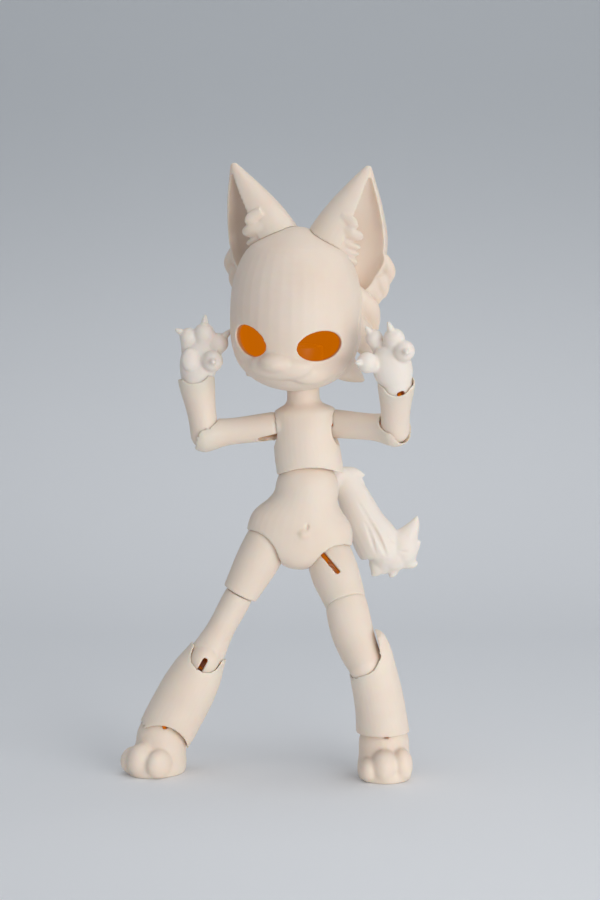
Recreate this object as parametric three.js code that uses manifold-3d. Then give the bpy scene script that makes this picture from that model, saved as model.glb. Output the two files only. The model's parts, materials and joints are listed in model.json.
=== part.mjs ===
// Ball jointed fox doll: hollow resin castings strung on elastic cord.
// Millimetres, +Z up. The doll faces -Y. Left and right are the viewer's, so left is -X.
// Every limb is modelled hanging along its own -Z, with its origin at the centre of its upper ball.

import * as THREE from 'three';
import { mergeVertices } from 'three/addons/utils/BufferGeometryUtils.js';
import Module from 'manifold-3d';

const wasm = await Module();
wasm.setup();

// Clearances and cords
const runningGap = 0.35;
const seatGap = 0.3;
const weldDistance = 0.0001;
const shortestEdge = 0.08;
const overrun = 1;
const cordRadius = 1.1;
const wireRadius = 0.6;
const slotWidth = 1.8;
const castWall = 2.2;

// Head
const headWidth = 42.5;
const headHeight = 53;
const headDepth = 40;
const chinDrop = 2.5;
const headCentreForward = 4;
const headCentreShift = -1.9;
const headChinShare = 0.415;
const faceSplitOffset = 1;
const eyeWidth = 14;
const eyeHeight = 10.5;
const eyeAngle = 34;
const eyeDrop = 5.8;
const eyeTilt = 17;
const muzzleWidth = 15;
const muzzleHeight = 10;
const muzzleReach = 4;
const muzzleDrop = 13.6;
const magnetRadius = 1.5;
const magnetLength = 1.6;

// Ears
const earLength = 34;
const earWidth = 32;
const earDepth = 20;
const earWall = 1.5;
const earSpread = 12.7;
const earSetBack = 5;
const earSeatDrop = 11.9;
const earPegRadius = 2.4;
const earPegLength = 4;
const earLeanForwardAngle = 17;
const earLeanOutAngle = 14;
const earOpeningAngle = 42;

// Torso
const neckRadius = 5.4;
const neckRise = 35.3;
const chestHalfWidth = 10.9;
const chestHalfDepth = 9;
const chestHeight = 29.8;
const waistBallRadius = 7.2;
const waistRise = 20;
const waistSeamRise = 3.2;
const shoulderHalfSpan = 10.6;
const shoulderRise = 21;
const hipHalfSpan = 10.3;
const pelvisHalfWidth = 17;
const pelvisHalfDepth = 9.6;
const crotchDrop = 6;

// Arms
const shoulderBallRadius = 4.7;
const upperArmLength = 22;
const upperArmRadius = 4.6;
const elbowBallRadius = 4.5;
const elbowCupRadius = 5.6;
const forearmLength = 17.5;
const forearmRadius = 4.5;
const wristRimRadius = 5.9;
const wristBallRadius = 4.3;
const fingerRadius = 3.1;
const clawLength = 3.2;
const clawRadius = 1.3;

// Legs
const hipBallRadius = 7.4;
const thighLength = 41;
const thighSeamDrop = 18.6;
const thighSeamRadius = 4.9;
const thighMidRadius = 4.5;
const kneeBallRadius = 5.3;
const kneeCupRadius = 6.9;
const shinLength = 33;
const shinRimRadius = 9.1;
const ankleBallRadius = 7.4;
const ankleHeight = 10.4;
const footHalfWidth = 9;
const footHalfLength = 11.5;
const toeRadius = 3.7;
const swivelPinRadius = 2.6;
const swivelPinLength = 3;

// Tail
const tailThickness = 20;
const tailPegRadius = 2.2;
const tailPegLength = 4;

// Stance, in degrees
const pelvisRollAngle = 9;
const chestRollAngle = -2.3;
const headYaw = -14;
const headRollAngle = 2;
const headNodAngle = 3;
const leftThighSplay = 28.2;
const leftShinSplay = 28;
const rightThighSplay = 16.6;
const rightThighSwingAngle = 32.5;
const rightShinSplay = 11.2;
const leftFootYaw = -35;
const rightFootYaw = 4;
const leftArmDroopAngle = 7;
const leftForearmTilt = -9;
const rightArmForwardAngle = 33;
const rightArmDroopAngle = 2;
const rightForearmLeanAngle = 33;
const leftHandTilt = 0;
const rightHandTilt = -16;

// Travel of the joints from the stance, in degrees, lowest and highest
const hipTravel = { left: [-15, 45], right: [-47, 13] };
const kneeTravel = { left: [0, 70], right: [-56, 14] };
const shoulderTravel = [-38, 2];
const elbowTravel = { left: [-70, 0], right: [-55, 0] };

// The cuts for a limb's travel are made at steps of this angle, in degrees
const sweepStepAngle = 20;

const degree = Math.PI / 180;
const sideways = new THREE.Vector3(1, 0, 0);
const frontBack = new THREE.Vector3(0, 1, 0);
const upright = new THREE.Vector3(0, 0, 1);

const creamResin = () => new THREE.MeshStandardMaterial({ color: 0xe5dccf, roughness: 0.55, metalness: 0 });
const cordFinish = () => new THREE.MeshStandardMaterial({ color: 0xf2efe8, roughness: 0.8, metalness: 0 });
const steelFinish = () => new THREE.MeshStandardMaterial({ color: 0xb9bcc0, roughness: 0.3, metalness: 1 });

// Turns a geometry into a closed solid whose faces point outwards.
function solidOf(geometry) {
  const bare = new THREE.BufferGeometry();
  bare.setAttribute('position', geometry.getAttribute('position').clone());
  bare.setIndex(geometry.index ? geometry.index.clone() : null);
  const merged = mergeVertices(bare, weldDistance);
  const vertProperties = Float32Array.from(merged.getAttribute('position').array);
  const corners = merged.index.array;
  const kept = [];
  const point = (index) => new THREE.Vector3().fromArray(vertProperties, 3 * index);
  let volume = 0;
  for (let start = 0; start < corners.length; start += 3) {
    const [a, b, c] = [corners[start], corners[start + 1], corners[start + 2]];
    if (a === b || b === c || c === a) continue;
    kept.push([a, b, c]);
    volume += point(a).dot(point(b).cross(point(c)));
  }
  const facing = volume < 0 ? kept.map(([a, b, c]) => [a, c, b]) : kept;
  const triVerts = Uint32Array.from(facing.flat());
  return new wasm.Manifold(new wasm.Mesh({ numProp: 3, vertProperties, triVerts }));
}

function geometryOf(solid) {
  const mesh = solid.getMesh();
  const geometry = new THREE.BufferGeometry();
  geometry.setAttribute('position', new THREE.BufferAttribute(Float32Array.from(mesh.vertProperties), 3));
  geometry.setIndex(new THREE.BufferAttribute(Uint32Array.from(mesh.triVerts), 1));
  return geometry;
}

// Cuts leave slivers along their rims: edges too short to matter are closed up, and their faces go.
function withoutSlivers(geometry) {
  const points = geometry.getAttribute('position');
  const corners = geometry.index.array;
  const keeper = Array.from({ length: points.count }, (unused, index) => index);
  const find = (index) => (keeper[index] === index ? index : find(keeper[index]));
  const point = (index) => new THREE.Vector3().fromBufferAttribute(points, index);
  for (let start = 0; start < corners.length; start += 3) {
    for (let corner = 0; corner < 3; corner += 1) {
      const [here, next] = [corners[start + corner], corners[start + ((corner + 1) % 3)]];
      if (point(here).distanceTo(point(next)) < shortestEdge) keeper[find(next)] = find(here);
    }
  }
  const faces = new Map();
  for (let start = 0; start < corners.length; start += 3) {
    const face = [0, 1, 2].map((corner) => find(corners[start + corner]));
    if (new Set(face).size < 3) continue;
    const key = [...face].sort((first, second) => first - second).join(' ');
    if (faces.has(key)) faces.delete(key);
    else faces.set(key, face);
  }
  const tidy = geometry.clone();
  tidy.setIndex([...faces.values()].flat());
  return tidy;
}

function join(...shapes) {
  return geometryOf(shapes.map(solidOf).reduce((whole, next) => whole.add(next)));
}

function cut(base, ...tools) {
  return geometryOf(tools.map(solidOf).reduce((whole, next) => whole.subtract(next), solidOf(base)));
}

function keepInside(base, tool) {
  return geometryOf(solidOf(base).intersect(solidOf(tool)));
}

// Skins a row of rings that all have the same number of points, with a fan over each end.
function skinRings(rings) {
  const sides = rings[0].length;
  const points = rings.flat();
  const indices = [];
  for (let ring = 0; ring < rings.length - 1; ring += 1) {
    for (let side = 0; side < sides; side += 1) {
      const here = ring * sides + side;
      const beside = ring * sides + ((side + 1) % sides);
      indices.push(here, beside, beside + sides, here, beside + sides, here + sides);
    }
  }
  for (const end of [0, rings.length - 1]) {
    const centre = rings[end].reduce((sum, point) => sum.clone().add(point), new THREE.Vector3());
    const hub = points.push(centre.divideScalar(sides)) - 1;
    for (let side = 0; side < sides; side += 1) {
      const here = end * sides + side;
      const beside = end * sides + ((side + 1) % sides);
      indices.push(...(end === 0 ? [hub, beside, here] : [hub, here, beside]));
    }
  }
  const geometry = new THREE.BufferGeometry().setFromPoints(points);
  geometry.setIndex(indices);
  return geometry;
}

// A loft along Z. Each station is [height, half width, half depth, side shift, front-back shift].
function loft(stations, sides) {
  return skinRings(stations.map(([height, halfWidth, halfDepth, shiftX = 0, shiftY = 0]) => {
    const ring = [];
    for (let side = 0; side < sides; side += 1) {
      const turn = (2 * Math.PI * side) / sides;
      const [across, back] = [halfWidth * Math.cos(turn), halfDepth * Math.sin(turn)];
      ring.push(new THREE.Vector3(shiftX + across, shiftY + back, height));
    }
    return ring;
  }));
}

// A loft along a curve: the rings stand square to it, and flatness is their depth over their width.
function loftAlong(points, radii, flatness, sides) {
  const curve = new THREE.CatmullRomCurve3(points);
  const count = radii.length - 1;
  return skinRings(radii.map((radius, index) => {
    const centre = curve.getPoint(index / count);
    const tangent = curve.getTangent(index / count);
    const wide = new THREE.Vector3().crossVectors(frontBack, tangent).normalize();
    const deep = new THREE.Vector3().crossVectors(tangent, wide);
    const ring = [];
    for (let side = 0; side < sides; side += 1) {
      const turn = (2 * Math.PI * side) / sides;
      ring.push(centre.clone()
        .addScaledVector(wide, radius * Math.cos(turn))
        .addScaledVector(deep, radius * flatness * Math.sin(turn)));
    }
    return ring;
  }));
}

// Stations of a half ball that swells from its pole (which is +1 above or -1 below) to its equator.
function domeStations(radius, pole, steps, centre = 0) {
  const stations = [];
  for (let step = 0; step < steps; step += 1) {
    const lift = Math.PI / 2 - (Math.PI / 2) * ((step + 0.35) / steps);
    const ringRadius = radius * Math.cos(lift);
    stations.push([centre + pole * radius * Math.sin(lift), ringRadius, ringRadius]);
  }
  return stations;
}

function ellipsoid(halfSizes, centre, sides = 12, rings = 8) {
  return new THREE.SphereGeometry(1, sides, rings).rotateX(Math.PI / 2)
    .scale(halfSizes.x, halfSizes.y, halfSizes.z).translate(centre.x, centre.y, centre.z);
}

// A ball whose facets lie wholly outside the true ball, for cutting a socket.
function socketBall(radius, centre = new THREE.Vector3(), sides = 14) {
  const outer = radius / Math.cos(Math.PI / sides) ** 2;
  return ellipsoid(new THREE.Vector3(outer, outer, outer), centre, sides, sides / 2 + 1);
}

// A straight round bar between two points.
function bar(from, to, radius, sides = 10, endRadius = radius) {
  const span = to.clone().sub(from);
  const turn = new THREE.Quaternion().setFromUnitVectors(frontBack, span.clone().normalize());
  const middle = from.clone().add(to).multiplyScalar(0.5);
  return new THREE.CylinderGeometry(endRadius, radius, span.length(), sides)
    .applyQuaternion(turn).translate(middle.x, middle.y, middle.z);
}

function block(low, high) {
  const size = high.clone().sub(low);
  const middle = high.clone().add(low).multiplyScalar(0.5);
  return new THREE.BoxGeometry(size.x, size.y, size.z).translate(middle.x, middle.y, middle.z);
}

const at = (x, y, z) => new THREE.Vector3(x, y, z);

// A bent wire of round section through the given points.
function wire(points, radius) {
  const section = new THREE.Shape().absarc(0, 0, radius, 0, 2 * Math.PI);
  const path = new THREE.CatmullRomCurve3(points);
  const steps = 2 * points.length - 2;
  return new THREE.ExtrudeGeometry(section, { steps, curveSegments: 4, extrudePath: path });
}

// The skeleton: where every joint stands and which way each limb hangs, in the doll's frame.

function limbDirection(side, splay, swing) {
  const across = Math.sin(splay * degree) * side;
  const down = Math.cos(splay * degree);
  return at(across, -down * Math.sin(swing * degree), -down * Math.cos(swing * degree));
}

// The turn that lays a limb's own -Z along a direction, with its own -Y kept to the front.
function limbTurn(direction) {
  const up = direction.clone().negate().normalize();
  const across = new THREE.Vector3().crossVectors(frontBack, up).normalize();
  const back = new THREE.Vector3().crossVectors(up, across);
  return new THREE.Quaternion().setFromRotationMatrix(new THREE.Matrix4().makeBasis(across, back, up));
}

function turnAbout(axis, angle) {
  return new THREE.Quaternion().setFromAxisAngle(axis, angle * degree);
}

function frameAt(name, parent, position, turn) {
  const frame = new THREE.Group();
  frame.name = name;
  frame.position.copy(position);
  frame.quaternion.copy(turn);
  frame.updateMatrixWorld(true);
  if (parent) parent.attach(frame);
  return frame;
}

const worldOf = (frame) => frame.getWorldPosition(new THREE.Vector3());
const turnOf = (frame) => frame.getWorldQuaternion(new THREE.Quaternion());
const pointFrom = (frame, point) => frame.localToWorld(point.clone());
const stepAlong = (start, direction, length) => start.clone().addScaledVector(direction, length);

const doll = new THREE.Group();
doll.name = 'ball_jointed_doll';

const pelvisTurn = turnAbout(frontBack, pelvisRollAngle);
const leftThighDirection = limbDirection(-1, leftThighSplay, 0);
const leftShinDirection = limbDirection(-1, leftShinSplay, 0);
const leftHip = at(-hipHalfSpan, 0, 0).applyQuaternion(pelvisTurn);
const leftLegDrop = -thighLength * leftThighDirection.z - shinLength * leftShinDirection.z;
const hipHeight = ankleHeight + leftLegDrop - leftHip.z;
const pelvisFrame = frameAt('pelvis_frame', doll, at(0, 0, hipHeight), pelvisTurn);

// The right shin leans back just enough to bring its foot level with the left one.
const rightThighDirection = limbDirection(1, rightThighSplay, rightThighSwingAngle);
const rightHip = pointFrom(pelvisFrame, at(hipHalfSpan, 0, 0));
const rightKneeHeight = rightHip.z + thighLength * rightThighDirection.z;
const rightShinReach = shinLength * Math.cos(rightShinSplay * degree);
const rightShinSwing = -Math.acos((rightKneeHeight - ankleHeight) / rightShinReach) / degree;
const rightShinDirection = limbDirection(1, rightShinSplay, rightShinSwing);

const chestFrame = frameAt('chest_frame', pelvisFrame, pointFrom(pelvisFrame, at(0, 0, waistRise)),
  turnAbout(frontBack, chestRollAngle));
const neckFrame = frameAt('neck_frame', chestFrame, pointFrom(chestFrame, at(0, 0, neckRise)),
  turnAbout(frontBack, chestRollAngle).multiply(turnAbout(upright, headYaw)));
const headFrame = frameAt('head_frame', neckFrame, worldOf(neckFrame),
  turnAbout(frontBack, headRollAngle)
    .multiply(turnAbout(upright, headYaw))
    .multiply(turnAbout(sideways, headNodAngle)));

const legs = {
  left: { side: -1, thigh: leftThighDirection, shin: leftShinDirection, footYaw: leftFootYaw },
  right: { side: 1, thigh: rightThighDirection, shin: rightShinDirection, footYaw: rightFootYaw },
};
for (const [name, leg] of Object.entries(legs)) {
  const hip = pointFrom(pelvisFrame, at(leg.side * hipHalfSpan, 0, 0));
  const knee = stepAlong(hip, leg.thigh, thighLength);
  const ankle = stepAlong(knee, leg.shin, shinLength);
  leg.thighFrame = frameAt(`thigh_frame_${name}`, pelvisFrame, hip, limbTurn(leg.thigh));
  leg.swivelFrame = frameAt(`swivel_frame_${name}`, leg.thighFrame,
    stepAlong(hip, leg.thigh, thighSeamDrop), limbTurn(leg.thigh));
  leg.shinFrame = frameAt(`shin_frame_${name}`, leg.swivelFrame, knee, limbTurn(leg.shin));
  leg.ankleFrame = frameAt(`ankle_frame_${name}`, leg.shinFrame, ankle, limbTurn(leg.shin));
  leg.footFrame = frameAt(`foot_frame_${name}`, leg.ankleFrame, ankle, turnAbout(upright, leg.footYaw));
}

const levelArm = (side, droop, forward) => at(side * Math.cos(droop * degree) * Math.cos(forward * degree),
  -Math.cos(droop * degree) * Math.sin(forward * degree), -Math.sin(droop * degree));
const raised = (tilt, lean) => at(Math.sin(tilt * degree),
  -Math.cos(tilt * degree) * Math.sin(lean * degree),
  Math.cos(tilt * degree) * Math.cos(lean * degree));
const arms = {
  left: { side: -1, upper: levelArm(-1, leftArmDroopAngle, 0), fore: raised(leftForearmTilt, 0),
    hand: raised(leftHandTilt, 0) },
  right: { side: 1, upper: levelArm(1, rightArmDroopAngle, rightArmForwardAngle),
    fore: raised(0, rightForearmLeanAngle),
    hand: raised(rightHandTilt, rightForearmLeanAngle / 3) },
};
for (const [name, arm] of Object.entries(arms)) {
  const shoulder = pointFrom(chestFrame, at(arm.side * shoulderHalfSpan, 0, shoulderRise));
  const elbow = stepAlong(shoulder, arm.upper, upperArmLength);
  const wrist = stepAlong(elbow, arm.fore, forearmLength);
  arm.upperFrame = frameAt(`upper_arm_frame_${name}`, chestFrame, shoulder, limbTurn(arm.upper));
  arm.foreFrame = frameAt(`forearm_frame_${name}`, arm.upperFrame, elbow, limbTurn(arm.fore));
  arm.wristFrame = frameAt(`wrist_frame_${name}`, arm.foreFrame, wrist, limbTurn(arm.fore));
  arm.handFrame = frameAt(`hand_frame_${name}`, arm.wristFrame, wrist, limbTurn(arm.hand));
}

function addPiece(frame, name, geometry, material) {
  const shown = geometryOf(solidOf(withoutSlivers(geometryOf(solidOf(geometry)))));
  shown.computeVertexNormals();
  const piece = new THREE.Mesh(shown, material);
  piece.name = name;
  frame.add(piece);
  return piece;
}

// Moves a shape from one frame's own space into another's.
function carried(geometry, fromFrame, toFrame) {
  const shift = toFrame.matrixWorld.clone().invert().multiply(fromFrame.matrixWorld);
  return geometry.clone().applyMatrix4(shift);
}

// Copies of a limb's clearance shape at steps of its travel, in the frame of the piece that it clears.
// The axis is given in the doll's frame and passes through the limb's own origin.
function sweep(shape, limbFrame, pieceFrame, axis, travel) {
  const [low, high] = travel;
  const steps = Math.ceil((high - low) / sweepStepAngle);
  const pivot = worldOf(limbFrame);
  const copies = [];
  for (let step = 0; step <= steps; step += 1) {
    const angle = low + ((high - low) * step) / steps;
    const turn = new THREE.Matrix4().makeTranslation(pivot.x, pivot.y, pivot.z)
      .multiply(new THREE.Matrix4().makeRotationAxis(axis, angle * degree))
      .multiply(new THREE.Matrix4().makeTranslation(-pivot.x, -pivot.y, -pivot.z))
      .multiply(limbFrame.matrixWorld);
    copies.push(shape.clone().applyMatrix4(pieceFrame.matrixWorld.clone().invert().multiply(turn)));
  }
  return copies;
}

// A limb's clearance shape: its shaft, grown by the running gap, from its ball's centre down to a length.
function clearance(topRadius, bottomRadius, length, sides = 10) {
  const grow = 1 / Math.cos(Math.PI / sides);
  const top = (topRadius + runningGap) * grow;
  const bottom = (bottomRadius + runningGap) * grow;
  return loft([[0, top, top], [-length, bottom, bottom]], sides);
}

// The slot that lets the cord swing out of a ball, open to the front or to one side of it.
function cordSlot(radius, bottom, turn = 0) {
  const half = slotWidth / 2;
  const low = at(-half, -radius - overrun, bottom);
  return block(low, at(half, cordRadius + seatGap, radius + overrun)).rotateZ(turn);
}

// The bore for the cord, between two heights on a limb's own axis.
function cordBore(top, bottom, radius = cordRadius + seatGap) {
  return bar(at(0, 0, bottom), at(0, 0, top), radius, 8);
}

// A stretch of the cord on a limb's own axis, which stops short of the balls at both ends.
function cordStretch(top, bottom) {
  const stop = 2 * cordRadius;
  return bar(at(0, 0, bottom + stop), at(0, 0, top - stop), cordRadius, 8);
}

// Legs

function thighUpperShape() {
  const seam = thighSeamRadius;
  return loft([
    ...domeStations(hipBallRadius, 1, 4),
    [0, hipBallRadius, hipBallRadius],
    [-0.22 * thighSeamDrop, 0.98 * hipBallRadius, hipBallRadius],
    [-0.6 * thighSeamDrop, 0.8 * hipBallRadius, 0.92 * hipBallRadius],
    [-thighSeamDrop + seatGap / 2, seam, 1.15 * seam],
  ], 14);
}

function thighLowerShape() {
  const drop = thighLength - thighSeamDrop;
  return loft([
    [-seatGap / 2, thighSeamRadius, 1.15 * thighSeamRadius],
    [-0.3 * drop, 0.96 * thighSeamRadius, 1.1 * thighSeamRadius],
    [-0.65 * drop, thighMidRadius, 1.08 * thighMidRadius],
    [-drop, kneeBallRadius, kneeBallRadius],
    ...domeStations(kneeBallRadius, -1, 3, -drop).reverse(),
  ], 14);
}

function shinShape() {
  return loft([
    [0.42 * kneeCupRadius, 0.9 * kneeCupRadius, 0.93 * kneeCupRadius],
    [-0.15 * kneeCupRadius, 0.96 * kneeCupRadius, 1.02 * kneeCupRadius],
    [-0.2 * shinLength, 1.2 * kneeCupRadius, 1.2 * kneeCupRadius],
    [-0.4 * shinLength, shinRimRadius, 0.98 * shinRimRadius],
    [-0.75 * shinLength, 1.01 * shinRimRadius, shinRimRadius],
    [-0.93 * shinLength, 0.97 * shinRimRadius, 0.97 * shinRimRadius],
  ], 16);
}

function footShape(side) {
  const sole = -ankleHeight;
  const rise = ankleHeight;
  const paw = loft([
    [sole - overrun, 0.9 * footHalfWidth, 0.86 * footHalfLength, 0, -0.2 * footHalfLength],
    [sole + 0.12 * rise, footHalfWidth, footHalfLength, 0, -0.2 * footHalfLength],
    [sole + 0.42 * rise, 0.99 * footHalfWidth, 0.95 * footHalfLength, 0, -0.15 * footHalfLength],
    [sole + 0.72 * rise, 0.87 * footHalfWidth, 0.66 * footHalfLength],
    [0, ankleBallRadius, ankleBallRadius],
    ...domeStations(ankleBallRadius, 1, 3).reverse(),
  ], 16);
  const toes = [-0.62, 0, 0.62].map((spreadShare) => {
    const reachShare = spreadShare === 0 ? 1.1 : 0.95;
    return ellipsoid(at(toeRadius, 1.25 * toeRadius, 1.2 * toeRadius),
      at(side * spreadShare * footHalfWidth, -reachShare * footHalfLength, sole + toeRadius), 8, 6);
  });
  const below = block(at(-3 * footHalfWidth, -3 * footHalfLength, sole - 2 * ankleHeight),
    at(3 * footHalfWidth, 3 * footHalfLength, sole));
  return cut(join(paw, ...toes), below);
}

// Swinging forward is a positive turn about this axis.
const hipSwingAxis = sideways.clone().negate().applyQuaternion(turnOf(pelvisFrame));
const thighClearance = clearance(hipBallRadius, 1.3 * thighSeamRadius, thighSeamDrop);
const pelvisTools = [];

for (const [name, leg] of Object.entries(legs)) {
  const swivelDrop = thighLength - thighSeamDrop;
  const kneeAxis = sideways.clone().applyQuaternion(turnOf(leg.shinFrame));
  leg.kneeAxis = kneeAxis;

  // The upper thigh ends in a pin that the lower thigh turns on.
  const seamHeight = -thighSeamDrop + seatGap / 2;
  const pinFoot = seamHeight - swivelPinLength;
  const pin = bar(at(0, 0, pinFoot), at(0, 0, seamHeight + overrun), swivelPinRadius, 14);
  const upper = cut(join(thighUpperShape(), pin), cordSlot(hipBallRadius, -0.25 * hipBallRadius),
    cordBore(0, pinFoot - overrun));
  addPiece(leg.thighFrame, `thigh_upper_${name}`, upper, creamResin());
  addPiece(leg.thighFrame, `thigh_cord_${name}`, cordStretch(0, -thighLength), cordFinish());

  const pinHole = bar(at(0, 0, -swivelPinLength - seatGap), at(0, 0, overrun),
    (swivelPinRadius + seatGap) / Math.cos(Math.PI / 14), 14);
  const kneeSlot = cordSlot(kneeBallRadius, -0.3 * kneeBallRadius)
    .rotateX(Math.PI).rotateZ(Math.PI).translate(0, 0, -swivelDrop);
  const lower = cut(thighLowerShape(), pinHole, cordBore(0, -swivelDrop), kneeSlot);
  addPiece(leg.swivelFrame, `thigh_lower_${name}`, lower, creamResin());

  // The shin's cup is cut back wherever the thigh passes as the knee bends.
  const kneeSocket = socketBall(kneeBallRadius + runningGap);
  const thighPast = carried(clearance(kneeBallRadius, thighMidRadius, 0.6 * swivelDrop)
    .rotateX(Math.PI).translate(0, 0, -swivelDrop), leg.swivelFrame, leg.shinFrame);
  const travel = kneeTravel[name];
  const thighSweep = [];
  const kneeSteps = Math.ceil((travel[1] - travel[0]) / sweepStepAngle);
  for (let step = 0; step <= kneeSteps; step += 1) {
    const angle = travel[0] + ((travel[1] - travel[0]) * step) / kneeSteps;
    thighSweep.push(thighPast.clone().rotateX(-angle * degree));
  }
  const ankleCentre = at(0, 0, -shinLength);
  const ankleSocket = socketBall(ankleBallRadius + runningGap, ankleCentre);
  const kneeWindow = ellipsoid(at(0.6 * kneeCupRadius, kneeCupRadius, 0.95 * kneeCupRadius),
    at(0, -1.25 * kneeCupRadius, 0.12 * kneeCupRadius), 12, 8);
  const shin = cut(shinShape(), kneeWindow, kneeSocket, ...thighSweep, ankleSocket,
    cordBore(0, -shinLength));
  addPiece(leg.shinFrame, `shin_${name}`, shin, creamResin());
  const hookRise = 1.6 * ankleBallRadius;
  const cordTop = 2 * cordRadius - kneeBallRadius - 2 * runningGap;
  const cordFoot = -shinLength + hookRise - cordRadius;
  addPiece(leg.shinFrame, `shin_cord_${name}`, cordStretch(cordTop, cordFoot), cordFinish());

  // The hook's bar lies across a hole in the ankle ball, and its stem stands up the shin's bore.
  const barHalf = 0.55 * ankleBallRadius;
  const hookBar = bar(at(-barHalf, 0, 0), at(barHalf, 0, 0), wireRadius, 8);
  const hookStem = bar(at(0, 0, 0), at(0, 0, hookRise), wireRadius, 8);
  addPiece(leg.ankleFrame, `foot_hook_${name}`, join(hookBar, hookStem), steelFinish());
  const barHole = bar(at(-barHalf - seatGap, 0, 0), at(barHalf + seatGap, 0, 0),
    (wireRadius + seatGap) / Math.cos(Math.PI / 8), 8);
  const stemHalf = wireRadius + seatGap;
  const stemSlot = block(at(-stemHalf, -ankleBallRadius - overrun, -stemHalf),
    at(stemHalf, 0.62 * ankleBallRadius, ankleBallRadius + overrun));
  const holes = carried(join(barHole, stemSlot), leg.ankleFrame, leg.footFrame);
  addPiece(leg.footFrame, `foot_${name}`, cut(footShape(leg.side), holes), creamResin());

  pelvisTools.push(carried(socketBall(hipBallRadius + runningGap), leg.thighFrame, pelvisFrame),
    ...sweep(thighClearance, leg.thighFrame, pelvisFrame, hipSwingAxis, hipTravel[name]));
}

// Torso

function pelvisShape() {
  const w = pelvisHalfWidth;
  const d = pelvisHalfDepth;
  const waist = 1.25 * waistBallRadius;
  return loft([
    [-crotchDrop, 0.2 * w, 0.42 * d],
    [-0.62 * crotchDrop, 0.5 * w, 0.72 * d],
    [-0.1 * crotchDrop, 0.86 * w, 0.9 * d],
    [0.18 * waistRise, 1.01 * w, d, 0, 0.02 * d],
    [0.36 * waistRise, w, 1.02 * d, 0, 0.04 * d],
    [0.5 * waistRise, 0.93 * w, 0.98 * d, 0, 0.02 * d],
    [0.7 * waistRise, 0.73 * w, 0.9 * d],
    [0.88 * waistRise, waist, 0.84 * d],
    [0.97 * waistRise, 1.16 * waistBallRadius, 0.8 * d],
    [waistRise, waistBallRadius, waistBallRadius],
    ...domeStations(waistBallRadius, 1, 3, waistRise).reverse(),
  ], 18);
}

const tailRoot = at(0.3 * hipHalfSpan, 0.86 * pelvisHalfDepth, 0.7 * waistRise);
const strandShift = cordRadius + seatGap / 2;
const pelvisBores = [];
for (const [name, leg] of Object.entries(legs)) {
  const hip = at(leg.side * hipHalfSpan, 0, 0);
  const bend = at(leg.side * strandShift, 0, 0.8 * waistRise);
  const start = hip.clone().lerp(bend, (hipBallRadius + 2 * runningGap) / hip.distanceTo(bend));
  const end = at(leg.side * strandShift, 0, waistRise + 0.8 * waistBallRadius);
  const aboveBend = (share) => bend.clone().lerp(end, share);
  const route = [start, start.clone().lerp(bend, 0.6), aboveBend(0.15), aboveBend(0.6), end];
  addPiece(pelvisFrame, `pelvis_cord_${name}`, wire(route, cordRadius), cordFinish());
  const boreRoute = [hip, ...route.slice(0, 4), end.clone().add(at(0, 0, waistBallRadius))];
  pelvisBores.push(wire(boreRoute, cordRadius + seatGap));
}
const tailPegHole = bar(tailRoot.clone().add(at(0, -tailPegLength - seatGap, 0)),
  tailRoot.clone().add(at(0, pelvisHalfDepth, 0)), (tailPegRadius + seatGap) / Math.cos(Math.PI / 14), 14);
const pelvisCasting = cut(pelvisShape(), ...pelvisTools, ...pelvisBores, tailPegHole);
addPiece(pelvisFrame, 'pelvis', pelvisCasting, creamResin());

function chestShape() {
  const w = chestHalfWidth;
  const d = chestHalfDepth;
  return loft([
    [waistSeamRise, w, 0.98 * d],
    [0.28 * chestHeight, 0.98 * w, d],
    [0.48 * chestHeight, 0.98 * w, 0.98 * d],
    [0.7 * chestHeight, w, 0.93 * d],
    [0.83 * chestHeight, 0.93 * w, 0.86 * d],
    [0.92 * chestHeight, 0.74 * w, 0.76 * d],
    [0.98 * chestHeight, 1.06 * neckRadius, 1.06 * neckRadius],
    [1.04 * chestHeight, neckRadius, neckRadius],
    [neckRise, neckRadius, neckRadius],
    ...domeStations(neckRadius, 1, 3, neckRise).reverse(),
  ], 16);
}

// The seam over the belly rises in the middle.
const seamArch = ellipsoid(at(0.78 * chestHalfWidth, 3 * chestHalfDepth, 0.6 * waistSeamRise),
  at(0, 0, waistSeamRise), 20, 8);
const chestTools = [socketBall(waistBallRadius + runningGap), seamArch];
const armCordHalf = shoulderHalfSpan - shoulderBallRadius - 2 * runningGap;
const armCordRoute = [-1, -0.5, 0, 0.5, 1].map((spanShare) => at(spanShare * armCordHalf,
  2.4 * cordRadius * Math.cos(0.3 * spanShare * Math.PI), shoulderRise));
const armBoreRoute = [at(-shoulderHalfSpan, 0, shoulderRise), ...armCordRoute,
  at(shoulderHalfSpan, 0, shoulderRise)];
const chestHollow = loft([
  [0, 0.5 * waistBallRadius, 0.55 * waistBallRadius],
  [0.85 * chestHeight, 0.42 * chestHalfWidth, 0.48 * chestHalfDepth],
], 12);
chestTools.push(wire(armBoreRoute, cordRadius + seatGap), chestHollow,
  cordBore(neckRise + 2 * neckRadius, 0.8 * chestHeight, 1.6 * cordRadius));
for (const [name, arm] of Object.entries(arms)) {
  arm.liftAxis = frontBack.clone().multiplyScalar(-arm.side);
  chestTools.push(carried(socketBall(shoulderBallRadius + runningGap), arm.upperFrame, chestFrame),
    ...sweep(clearance(shoulderBallRadius, upperArmRadius, 0.7 * upperArmLength),
      arm.upperFrame, chestFrame, arm.liftAxis, shoulderTravel));
}
addPiece(chestFrame, 'chest', cut(chestShape(), ...chestTools), creamResin());
addPiece(chestFrame, 'chest_cord', wire(armCordRoute, cordRadius), cordFinish());
const neckCordTop = neckRise - 2 * cordRadius;
const waistCordFoot = waistBallRadius + 2 * runningGap;
addPiece(chestFrame, 'torso_cord',
  bar(at(0, 0, waistCordFoot), at(0, 0, neckCordTop), cordRadius, 8), cordFinish());

// Arms

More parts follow.
